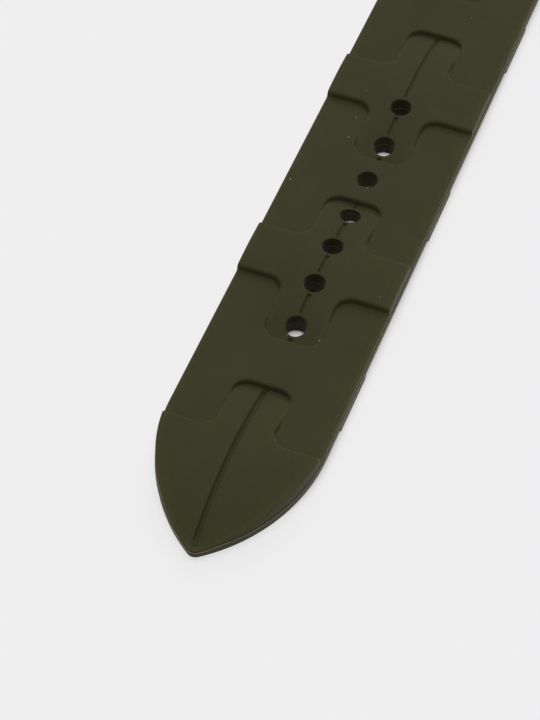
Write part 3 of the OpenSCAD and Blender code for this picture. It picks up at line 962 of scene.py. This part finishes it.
def link(name, start, start_radius, end, end_radius, low, high, edge, place):
    """A flat link across the strap round two circles in Y and Z, with rounded edges."""
    span = np.array(end) - start
    way = math.atan2(span[1], span[0])
    spread = math.acos((start_radius - end_radius) / np.linalg.norm(span))
    turns = [(start, start_radius, way + spread, way + 2 * math.pi - spread),
             (end, end_radius, way - spread, way + spread)]
    curve = [(edge * (1 - math.sin(a)), edge * (1 - math.cos(a))) for a in ROUND_STEPS]
    rows = [(low + x, inset) for x, inset in curve[::-1]]
    rows += [(high - x, inset) for x, inset in curve]
    loops = []
    for x, inset in rows if edge else [(low, 0), (high, 0)]:
        loops.append([(x, centre[0] + (radius - inset) * math.cos(a),
                       centre[1] + (radius - inset) * math.sin(a))
                      for centre, radius, first, last in turns
                      for a in np.linspace(first, last, 25)])
    return loft(name, loops, place)


def rounded_rod(low, high, radius, edge):
    """Profile of a rod along X with rounded ends."""
    rows = [(low + edge * (1 - math.sin(a)), radius - edge * (1 - math.cos(a)))
            for a in ROUND_STEPS[::-1]]
    return rows + [(low + high - x, r) for x, r in rows[::-1]]


# Angles in degrees past which an edge looks hard
RUBBER_EDGE = 38
METAL_EDGE = 35


def shade(obj, angle):
    """Smooth shading, with a hard edge where faces meet at more than an angle."""
    mesh = obj.data
    mesh.polygons.foreach_set("use_smooth", np.ones(len(mesh.polygons), bool))
    mesh.set_sharp_from_angle(angle=math.radians(angle))


# Materials

class StrapColours(bpy.types.PropertyGroup):
    silicone: paint("Silicone", "Olive of the moulded silicone", "#32331B")
    # The edge tint is partly real wear and partly a painted highlight where the edges catch the
    # light
    wear_and_highlight: paint("Edge tint", "Paler brown along the edges", "#4F4729")
    # The flash colour is paler than the thin rubber alone, a painted highlight along the
    # parting line's ridge
    flash_and_highlight: paint("Flash", "Thin rubber left along the parting line", "#75715A")
    lint: paint("Lint", "Specks of lint on the silicone", "#CFCFC0")
    buckle_steel: paint("Buckle steel", "Brushed stainless steel", "#C9CBCC")
    bar_steel: paint("Bar steel", "Turned stainless steel", "#C4C6C8")
    spring_wire: paint("Spring wire", "Drawn spring wire", "#8E9297")
    floor: paint("Floor", "Pale ground under the strap", "#EFEFEF")
    floor_glow: FloatProperty(name="Floor glow", description="Share of its own light in it",
                              default=0.8, min=0.0, max=1.0)


def shader(name):
    """A new material with a Principled shader: the material, its tree and that node."""
    material = bpy.data.materials.new(name)
    material.use_nodes = True
    tree = material.node_tree
    return material, tree, tree.nodes["Principled BSDF"]


def moulded_silicone(colours):
    """Compression moulded silicone rubber: matt, dust-catching, IOR 1.41.

    Its upper side copies the blasted mould, a fine even grain that spreads all highlights.
    Its flanks copy the smoother mould walls, and mirror a little of the floor.
    """
    made = bpy.data.materials.get("moulded_silicone")
    if made:
        return made
    material, tree, surface = shader("moulded_silicone")
    coordinates = node(tree, "ShaderNodeTexCoord").outputs
    place = coordinates["Object"]
    wear_and_highlight, groove, flash_and_highlight, flank = [
        node(tree, "ShaderNodeAttribute", attribute_name=name).outputs["Fac"]
        for name in ("wear_and_highlight", "groove", "flash_and_highlight", "flank")]

    # Lint: one speck in a third of the 5 mm wide cells, at most 0.09 mm in radius
    cells = node(tree, "ShaderNodeTexVoronoi", {"Vector": place, "Scale": 1 / (5 * MM)},
                 voronoi_dimensions="2D").outputs
    chance, size, glint = node(tree, "ShaderNodeSeparateXYZ", [cells["Color"]]).outputs
    radius = node(tree, "ShaderNodeMapRange", [size, 0.0, 1.0, 0.006, 0.018])
    inner = node(tree, "ShaderNodeMath", [radius, cells["Distance"]], operation="SUBTRACT")
    up = node(tree, "ShaderNodeSeparateXYZ", [coordinates["Normal"]]).outputs[2]
    speck = node(tree, "ShaderNodeMapRange", [glint, 0.0, 1.0, 0.2, 0.9])
    for value, low, high in ((inner, 0.0, 0.008), (chance, 0.66, 0.67), (up, 0.5, 0.6)):
        there = node(tree, "ShaderNodeMapRange", [value, low, high, 0.0, 1.0])
        speck = node(tree, "ShaderNodeMath", [speck, there], operation="MULTIPLY")

    # Colour: the rubber, worn edges with a painted highlight but not the flanks, the parting
    # line painted paler as a highlight, and the lint
    fade = node(tree, "ShaderNodeMapRange", [flank, 0.1, 0.5, 0.6, 0.0])
    rubbed_and_highlight = node(tree, "ShaderNodeMath", [wear_and_highlight, fade], operation="MULTIPLY", use_clamp=True)
    colour = (*colours.silicone, 1)
    for share, over in ((rubbed_and_highlight, colours.wear_and_highlight), (flash_and_highlight, colours.flash_and_highlight), (speck, colours.lint)):
        colour = node(tree, "ShaderNodeMix", {0: share, 6: colour, 7: (*over, 1)},
                      data_type="RGBA").outputs[2]

    # Painted shade in the grooves, faint clouds 6 mm wide and mottling 0.3 mm wide
    light = node(tree, "ShaderNodeMapRange", [groove, 0.0, 1.0, 1.0, 0.74])
    for width, detail in ((6, 3.0), (0.3, 1.0)):
        noise = node(tree, "ShaderNodeTexNoise",
                     {"Vector": place, "Scale": 1 / (width * MM), "Detail": detail})
        tone = node(tree, "ShaderNodeMapRange", [noise, 0.3, 0.7, 0.94, 1.06])
        light = node(tree, "ShaderNodeMath", [light, tone], operation="MULTIPLY")
    toned = node(tree, "ShaderNodeVectorMath", {0: colour, "Scale": light}, operation="SCALE")
    tree.links.new(toned.outputs[0], surface.inputs["Base Color"])

    # Grain of the blasted mould, 0.12 mm, about twice the real one so that it shows
    grain = node(tree, "ShaderNodeTexNoise", {"Vector": place, "Scale": 1 / (0.12 * MM),
                                              "Detail": 2.0})
    bump = node(tree, "ShaderNodeBump", {"Height": grain, "Strength": 0.25,
                                         "Distance": 0.01 * MM})
    tree.links.new(bump.outputs[0], surface.inputs["Normal"])
    gloss = node(tree, "ShaderNodeMapRange", [flank, 0.0, 1.0, 0.8, 0.35])
    tree.links.new(gloss.outputs[0], surface.inputs["Roughness"])
    surface.inputs["Specular IOR Level"].default_value = 0.25
    surface.inputs["Sheen Weight"].default_value = 0.12
    surface.inputs["Sheen Roughness"].default_value = 0.4
    surface.inputs["Sheen Tint"].default_value = (1.0, 0.9, 0.7, 1)
    surface.inputs["IOR"].default_value = 1.41
    return material


def metal(name, colour, roughness):
    """A bare metal of one colour and an even gloss: the material, its tree and shader."""
    material, tree, surface = shader(name)
    surface.inputs["Base Color"].default_value = (*colour, 1)
    surface.inputs["Metallic"].default_value = 1.0
    surface.inputs["Roughness"].default_value = roughness
    return material, tree, surface


def brushed_steel(colours):
    """Stainless steel brushed along X after stamping: fine lines that stretch highlights."""
    material, tree, surface = metal("brushed_steel", colours.buckle_steel, 0.3)
    place = node(tree, "ShaderNodeTexCoord").outputs["Object"]
    # Brush lines 0.15 mm apart and 20 mm long, three times the real ones so that they show
    lines = node(tree, "ShaderNodeMapping", {"Vector": place, "Scale": (50, 6600, 6600)})
    noise = node(tree, "ShaderNodeTexNoise", {"Vector": lines, "Scale": 1.0, "Detail": 3.0})
    rough = node(tree, "ShaderNodeMapRange", {"Value": noise, "To Min": 0.24, "To Max": 0.4})
    tree.links.new(rough.outputs[0], surface.inputs["Roughness"])
    return material


def turned_steel(colours):
    """Stainless steel turned on a lathe, then tumbled: bright, its fine rings worn away."""
    return metal("turned_steel", colours.bar_steel, 0.28)[0]


def drawn_wire(colours):
    """Cold drawn spring wire, darker than the turned steel from its heat treatment."""
    return metal("drawn_spring_wire", colours.spring_wire, 0.34)[0]


# The floor glows in full from this far outside the strap's sides, and not at all this far
# inside them, in millimetres, and how much sooner it does so towards the tip
GLOW_OUTSIDE = 1.2
GLOW_INSIDE = 2
GLOW_TAPER = 0.57


def pale_card(colours):
    """Matt white card with a painted glow that lightens its shadows away from the strap: pale,
    with faint shadows.

    It glows towards the camera and in reflections, but not under the strap and less close
    beside it, where the photograph's floor is darkest.
    """
    material, tree, surface = shader("pale_card")
    surface.inputs["Base Color"].default_value = (*colours.floor, 1)
    surface.inputs["Roughness"].default_value = 0.9
    surface.inputs["Specular IOR Level"].default_value = 0.0
    rays = node(tree, "ShaderNodeLightPath").outputs
    seen = node(tree, "ShaderNodeMath", [rays["Is Camera Ray"], rays["Is Glossy Ray"]],
                operation="MAXIMUM")
    place = node(tree, "ShaderNodeTexCoord").outputs["Object"]
    x, y, z = node(tree, "ShaderNodeSeparateXYZ", [place]).outputs
    off = node(tree, "ShaderNodeMath", [x], operation="ABSOLUTE")
    width = 2 * HALF_WIDTH * MM
    along = node(tree, "ShaderNodeMath", [TIP_Y * MM + width, y], operation="SUBTRACT")
    along = node(tree, "ShaderNodeMath", [along, 0.0], operation="MAXIMUM")
    narrow = node(tree, "ShaderNodeMath", [along, along], operation="MULTIPLY")
    beside = node(tree, "ShaderNodeMath", [narrow, GLOW_TAPER / width, off],
                  operation="MULTIPLY_ADD")
    # Painted light: the glow follows the strap's outline, painting the floor lighter over its
    # shadow from a little way past the strap
    clear = node(tree, "ShaderNodeMapRange", [
        beside, (HALF_WIDTH - GLOW_INSIDE) * MM, (HALF_WIDTH + GLOW_OUTSIDE) * MM,
        0.0, colours.floor_glow])
    share = node(tree, "ShaderNodeMath", [seen, clear], operation="MULTIPLY")
    glow = node(tree, "ShaderNodeEmission", {"Color": (*colours.floor, 1), "Strength": 1.0})
    mixed = node(tree, "ShaderNodeMixShader", [share, surface, glow])
    tree.links.new(mixed.outputs[0], tree.nodes["Material Output"].inputs["Surface"])
    return material


# Operators

def show(context, obj, body, nodes, material=None):
    """Links a finished piece, gives it a material if one is given, hangs it on the body it
    rides on, and hides the CAD nodes it stands for.
    """
    if obj.name not in context.scene.collection.objects:
        context.scene.collection.objects.link(obj)
    if material:
        obj.data.materials.clear()
        obj.data.materials.append(material)
    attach(obj, body)
    if nodes:
        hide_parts(*nodes)


class STRAP_OT_long_half(bpy.types.Operator):
    """Builds the long half with its point, raised plates, grooves, holes and bar bore"""

    bl_idname = "strap.long_half"
    bl_label = "Long Half"

    def execute(self, context):
        s = millimetres(context.scene.strap_sizes)
        first = TIP_Y + s.tip_plate_length - s.body_length / 2
        middles = [first + i * PLATE_PITCH for i in range(4)]
        tip_reach = s.tip_plate_length - s.body_length / 2 - s.point_rim
        plates = [(middles[0] + s.tip_plate_shift, tip_reach + s.tip_plate_shift, None),
                  (middles[1], None, None), (middles[2], None, None), (middles[3], None, 0)]
        pads = [(a + b) / 2 - s.pad_shift for a, b in zip(middles, middles[1:])]
        plan = Plan(s, long_outline(s), plates, pads, HOLES_Y, [(LONG_BAR[0], 1)], 0)
        material = moulded_silicone(context.scene.strap_colours)
        obj = run_tree("long_half", closed_blank("long_half", plan), relief_tree(s, material))
        reach = HALF_WIDTH + 2
        at_bar = Matrix.Translation((0, *LONG_BAR))
        combine(obj, [rod(s.bar_bore / 2, -reach, reach, at_bar), knob_recess(context, at_bar)])
        shade(obj, RUBBER_EDGE)
        show(context, obj, "strap", ["long_strap"])
        return {"FINISHED"}


def knob_recess(context, at_bar):
    """The room that a release knob and its post need, from the bar down."""
    b = millimetres(context.scene.strap_bars)
    room = b.knob_thick / 2 + b.recess_room
    half = b.recess_width / 2
    return block((b.post_place - b.travel - room, -half, -b.knob_drop - 1),
                 (b.post_place + room, half, 0), at_bar)


class STRAP_OT_short_half(bpy.types.Operator):
    """Builds the short half with its raised plates, side notches, tang slot and bar bores"""

    bl_idname = "strap.short_half"
    bl_label = "Short Half"

    def execute(self, context):
        s = millimetres(context.scene.strap_sizes)
        keeper = [corner[1] for corner in corners("fixed_keeper")]
        first = SHORT_BAR[0] + s.end_plate_reach
        last = BUCKLE_BAR[0] - s.end_plate_reach
        middles = [first, (first + last) / 2, last]
        plates = [(first, 0, None), (middles[1], None, None), (last, None, 0)]
        pads = [(a + b) / 2 for a, b in zip(middles, middles[1:])]
        lift = SHORT_LOW[2]
        plan = Plan(s, short_outline(s, sum(keeper) / 2), plates, pads, [],
                    [(SHORT_BAR[0], -1), (BUCKLE_BAR[0], 1)], lift)
        material = moulded_silicone(context.scene.strap_colours)
        obj = run_tree("short_half", closed_blank("short_half", plan),
                       relief_tree(s, material), {"Lift": lift * MM})
        reach = HALF_WIDTH + 2
        places = [Matrix.Translation((0, *bar)) for bar in (SHORT_BAR, BUCKLE_BAR)]
        cutters = [rod(s.bar_bore / 2, -reach, reach, place) for place in places]
        combine(obj, cutters + [knob_recess(context, places[0])])
        shade(obj, RUBBER_EDGE)
        show(context, obj, "strap", ["short_strap"])
        return {"FINISHED"}


class STRAP_OT_keepers(bpy.types.Operator):
    """Builds the fixed keeper with its side tabs, and the free keeper"""

    bl_idname = "strap.keepers"
    bl_label = "Keepers"

    def execute(self, context):
        k = millimetres(context.scene.strap_keepers)
        pad_height = millimetres(context.scene.strap_sizes).pad_height
        material = moulded_silicone(context.scene.strap_colours)
        tree = loop_tree(material)
        for name, body in (("fixed_keeper", "strap"), ("free_keeper", "free_keeper")):
            low, high = corners(name)
            size, middle = high - low, (high + low) / 2
            obj = run_tree(name, bpy.data.meshes.new(name), tree, {
                "Width": (size[0] - k.wall) * MM, "Height": (size[2] - k.wall) * MM,
                "Corner radius": (k.inner_round + k.wall / 2) * MM, "Length": size[1] * MM,
                "Wall": k.wall * MM, "Edge radius": k.edge_round * MM,
                "Y": middle[1] * MM, "Z": middle[2] * MM})
            if body == "strap":
                self.add_tabs(obj, k, SHORT_LOW[2] + pad_height, low, high)
            shade(obj, RUBBER_EDGE)
            show(context, obj, body, [name])
        return {"FINISHED"}

    def add_tabs(self, obj, k, base, low, high):
        """Joins the tabs that sit in the strap's side notches."""
        outer = high[0] - k.wall / 2
        tabs = []
        for side in (-1, 1):
            ends = sorted((side * (outer - k.tab_width), side * outer))
            tabs.append(block((ends[0], low[1], base), (ends[1], high[1], base + k.tab_height)))
        combine(obj, tabs, "UNION")


class STRAP_OT_buckle(bpy.types.Operator):
    """Builds the buckle's frame and its tang"""

    bl_idname = "strap.buckle"
    bl_label = "Buckle"

    def execute(self, context):
        b = millimetres(context.scene.strap_buckle)
        material = brushed_steel(context.scene.strap_colours)
        reach = math.hypot(b.reach, b.rise)
        tilt = math.asin((BUCKLE_BAR[1] - b.arm_end / 2) / reach)
        tilt += math.atan2(b.rise, b.reach)
        place = Matrix.Translation((0, *BUCKLE_BAR)) @ Matrix.Rotation(-tilt, 4, "X")
        outer = b.arm_gap + b.arm_thick
        arms = [link("arm", (0, 0), b.ear / 2, (b.reach, b.rise), b.arm_end / 2,
                     *sorted((side * b.arm_gap, side * outer)), b.edge_round, place)
                for side in (-1, 1)]
        at_rail = place @ Matrix.Translation((0, b.reach, b.rise))
        end = b.arm_gap + b.arm_thick / 2
        frame_obj = rod(b.rail_thick / 2, -end, end, at_rail)
        frame_obj.name = "buckle_frame"
        combine(frame_obj, arms, "UNION")
        room = b.notch_room
        notch = self.tang_arm(b, b.tang_width / 2 + room, room, 0, place)
        combine(frame_obj, [rod(b.pin_bore / 2, -outer - 1, outer + 1, place), notch])
        shade(frame_obj, METAL_EDGE)
        show(context, frame_obj, "buckle_frame", ["buckle_frame"], material)
        half = b.tang_width / 2
        tang = turned("buckle_tang", rounded_rod(-half, half, b.tang_eye / 2, 0.25), place)
        combine(tang, [self.tang_arm(b, half, 0, 0.3, place)], "UNION")
        combine(tang, [rod(b.tang_bore / 2, -half - 1, half + 1, place)])
        shade(tang, METAL_EDGE)
        show(context, tang, "buckle_tang", ["buckle_tang"], material)
        return {"FINISHED"}

    def tang_arm(self, b, half, grow, edge, place):
        """The tang's arm, from its eye to the rail's notch, where a third of it sinks in."""
        radius = b.tang_thick / 2
        return link("tang_arm", (radius, b.tang_eye / 2 - 1.5 * radius), radius + grow,
                    (b.reach, b.rise + b.rail_thick / 2 + radius / 3), radius + grow,
                    -half, half, edge, place)


# Small rounds, bevels and clearances of the turned pieces, in millimetres
SLEEVE_ROUND = 0.2
KNOB_ROUND = 0.14
HEAD_BEVEL = 0.08
LIP_BEVEL = 0.05
BAR_ROOM = 0.05


class STRAP_OT_bars(bpy.types.Operator):
    """Builds the three spring bars with their sleeves, pins, springs and release knobs"""

    bl_idname = "strap.bars"
    bl_label = "Spring Bars"

    def execute(self, context):
        b = millimetres(context.scene.strap_bars)
        colours = context.scene.strap_colours
        steel, wire = turned_steel(colours), drawn_wire(colours)
        coil = coil_tree(wire)
        for name, (y, z) in (("long", LONG_BAR), ("short", SHORT_BAR), ("buckle", BUCKLE_BAR)):
            place = Matrix.Translation((0, y, z))
            body, quick_release = f"{name}_bar", name != "buckle"
            obj = self.sleeve(b, f"{body}_sleeve", place, quick_release)
            show(context, obj, body, [f"{body}_sleeve"], steel)
            reach = b.head_end - b.head_length - b.spring_room
            if quick_release:
                springs = [(f"{body}_spring", -reach, reach, -reach, f"{name}_release_slide")]
            else:
                springs = [(f"{body}_spring_left", -reach, 0, 0, "buckle_pin_left_slide"),
                           (f"{body}_spring_right", 0, reach, 0, "buckle_pin_right_slide")]
            for spring, low, high, held, joint in springs:
                obj = run_tree(spring, bpy.data.meshes.new(spring), coil, {
                    "Length": (high - low) * MM, "Wire": b.wire * MM,
                    "Coil": b.coil_thick * MM, "Pitch": b.coil_pitch * MM,
                    "X": (low + high) / 2 * MM, "Y": y * MM, "Z": z * MM})
                show(context, obj, body, [f"{body}_spring"])
                at = Vector((held, y, z)) * MM
                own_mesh(obj)
            mirrored = place @ Matrix.Rotation(math.pi, 4, "Z")
            if quick_release:
                shank, end = HALF_WIDTH, HALF_WIDTH + b.tip
                pins = [(f"{body}_pin", body, mirrored),
                        (f"{name}_slide_pin", f"{name}_release", place)]
            else:
                shank = HALF_WIDTH + b.buckle_gap - BAR_ROOM
                end = HALF_WIDTH + b.buckle_gap + b.tip
                pins = [("buckle_pin_left", "buckle_pin_left", mirrored),
                        ("buckle_pin_right", "buckle_pin_right", place)]
            for pin, rides_on, at in pins:
                obj = self.end_pin(b, pin, shank, end, at)
                show(context, obj, rides_on, [pin], steel)
            if quick_release:
                obj = self.knob(b, f"{name}_release_knob", place)
                show(context, obj, f"{name}_release",
                     [f"{name}_release_knob"], steel)
        return {"FINISHED"}

    def sleeve(self, b, name, place, slotted):
        """A tube with a rolled lip at each end, and a slot for a release post."""
        half, outer, lip = b.sleeve_half, b.sleeve_thick / 2, b.lip_bore / 2
        inner = outer - b.sleeve_wall
        bore = [(half - LIP_BEVEL, lip), (half - b.lip + LIP_BEVEL, lip), (half - b.lip, inner)]
        profile = rounded_rod(-half, half, outer, SLEEVE_ROUND) + bore
        profile += [(-x, r) for x, r in bore[::-1]]
        obj = turned(name, profile, place, tube=True)
        if slotted:
            room = b.post_thick / 2 + BAR_ROOM
            slot = block((b.post_place - b.travel - room, -room, -b.sleeve_thick),
                         (b.post_place + room, room, 0), place)
            combine(obj, [slot])
        shade(obj, METAL_EDGE)
        return obj

    def end_pin(self, b, name, shank, end, place):
        """A pin: head in the sleeve, shank through the lip, and chamfered tip."""
        head, start = b.head_thick / 2, b.head_end - b.head_length
        thick, tip = b.shank_thick / 2, b.tip_thick / 2
        bevel = HEAD_BEVEL
        profile = [(start, head - bevel), (start + bevel, head), (b.head_end - bevel, head),
                   (b.head_end, head - bevel), (b.head_end, thick), (shank - 0.12, thick),
                   (shank, thick - 0.1), (shank, tip), (end - 0.15, tip),
                   (end - 0.04, tip - 0.09), (end, tip - 0.2)]
        obj = turned(name, profile, place, sides=32)
        shade(obj, METAL_EDGE)
        return obj

    def knob(self, b, name, place):
        """A release knob with rounded edges, on its post."""
        low, radius, post = -b.knob_drop, b.knob_thick / 2, b.post_thick / 2
        knob = rounded_rod(low, low + b.knob_height, radius, KNOB_ROUND)
        profile = knob + [(low + b.knob_height, post), (-b.shank_thick / 2, post)]
        upright = Matrix.Rotation(-math.pi / 2, 4, "Y")
        at_post = place @ Matrix.Translation((b.post_place, 0, 0)) @ upright
        obj = turned(name, profile, at_post, sides=32)
        shade(obj, METAL_EDGE)
        return obj


# Each lamp's name, strength, breadth in degrees and direction, and the white room's strength
LAMPS = (("softbox", 1.9, 36, (-0.03, 0.09, -1.0)), ("window", 1.3, 40, (0.1, -0.79, -0.61)))
ROOM_LIGHT = 0.15


class STRAP_OT_stage(bpy.types.Operator):
    """Sets the pale floor, the soft light and the camera of the photograph"""

    bl_idname = "strap.stage"
    bl_label = "Stage"

    def execute(self, context):
        colours = context.scene.strap_colours
        bpy.ops.mesh.primitive_plane_add(size=4)
        floor = context.object
        floor.name = "floor"
        floor.data.materials.append(pale_card(colours))
        world = bpy.data.worlds.new("pale_room")
        world.use_nodes = True
        sky = world.node_tree.nodes["Background"]
        sky.inputs["Color"].default_value = (1, 1, 1, 1)
        sky.inputs["Strength"].default_value = ROOM_LIGHT
        context.scene.world = world
        for lamp in LAMPS:
            self.add_lamp(context, *lamp)
        self.place_camera(context)
        context.scene.view_settings.view_transform = "Standard"
        return {"FINISHED"}

    def add_lamp(self, context, name, energy, angle, towards):
        """A broad soft lamp, from its strength, its breadth in degrees and its direction."""
        lamp = bpy.data.lights.new(name, "SUN")
        lamp.energy, lamp.angle = energy, math.radians(angle)
        holder = bpy.data.objects.new(name, lamp)
        context.scene.collection.objects.link(holder)
        holder.rotation_euler = Vector(towards).to_track_quat("-Z", "Y").to_euler()

    def place_camera(self, context):
        """Looks down and along the strap from its tip, as the photograph does."""
        s = context.scene.strap_camera
        lens = bpy.data.cameras.new("camera")
        lens.sensor_fit, lens.sensor_width = "HORIZONTAL", 36
        lens.lens = s.focal_length
        lens.clip_start, lens.clip_end = 0.01, 10
        camera = bpy.data.objects.new("camera", lens)
        context.scene.collection.objects.link(camera)
        flat = math.cos(s.elevation)
        ahead = Vector((-flat * math.sin(s.heading), flat * math.cos(s.heading),
                        -math.sin(s.elevation)))
        camera.location = Vector(s.aim) - s.distance * ahead
        camera.rotation_euler = ahead.to_track_quat("-Z", "Y").to_euler()
        context.scene.camera = camera


class StrapCamera(bpy.types.PropertyGroup):
    focal_length: FloatProperty(name="Focal length", description="On a 36 mm wide sensor",
                                default=163.12, unit="CAMERA")
    elevation: FloatProperty(name="Elevation", description="Angle down to the strap",
                             default=math.radians(51.83), subtype="ANGLE")
    heading: FloatProperty(name="Heading", description="Turn away from the strap's length",
                           default=math.radians(21.22), subtype="ANGLE")
    distance: FloatProperty(name="Distance", description="From the camera to its aim",
                            default=323.88 * MM, unit="LENGTH")
    aim: FloatVectorProperty(name="Aim", description="Point at the middle of the picture",
                             default=(-1.10 * MM, -82.03 * MM, 3.3 * MM), unit="LENGTH")


class STRAP_PT_panel(bpy.types.Panel):
    """Lists the pieces of the strap in the order in which they are built"""

    bl_idname = "STRAP_PT_panel"
    bl_label = "Watch Strap"
    bl_space_type = "VIEW_3D"
    bl_region_type = "UI"
    bl_category = "Strap"

    def draw(self, context):
        """Draws a button for each operator."""
        for operator in OPERATORS:
            self.layout.operator(operator.bl_idname)


OPERATORS = (STRAP_OT_long_half, STRAP_OT_short_half, STRAP_OT_keepers, STRAP_OT_buckle,
             STRAP_OT_bars, STRAP_OT_stage)
GROUPS = {"strap_sizes": StrapSizes, "strap_keepers": KeeperSizes,
          "strap_buckle": BuckleSizes, "strap_bars": BarSizes,
          "strap_colours": StrapColours, "strap_camera": StrapCamera}


def register():
    """Registers the classes and adds the settings to the scene."""
    for item in (*GROUPS.values(), *OPERATORS, STRAP_PT_panel):
        bpy.utils.register_class(item)
    for name, group in GROUPS.items():
        setattr(bpy.types.Scene, name, PointerProperty(type=group))


def unregister():
    """Takes away what register adds."""
    for name in GROUPS:
        delattr(bpy.types.Scene, name)
    for item in (STRAP_PT_panel, *reversed(OPERATORS), *reversed(GROUPS.values())):
        bpy.utils.unregister_class(item)


def main():
    """Builds every piece."""
    register()
    for operator in OPERATORS:
        group, name = operator.bl_idname.split(".")
        getattr(getattr(bpy.ops, group), name)()


if __name__ == "__main__":
    main()
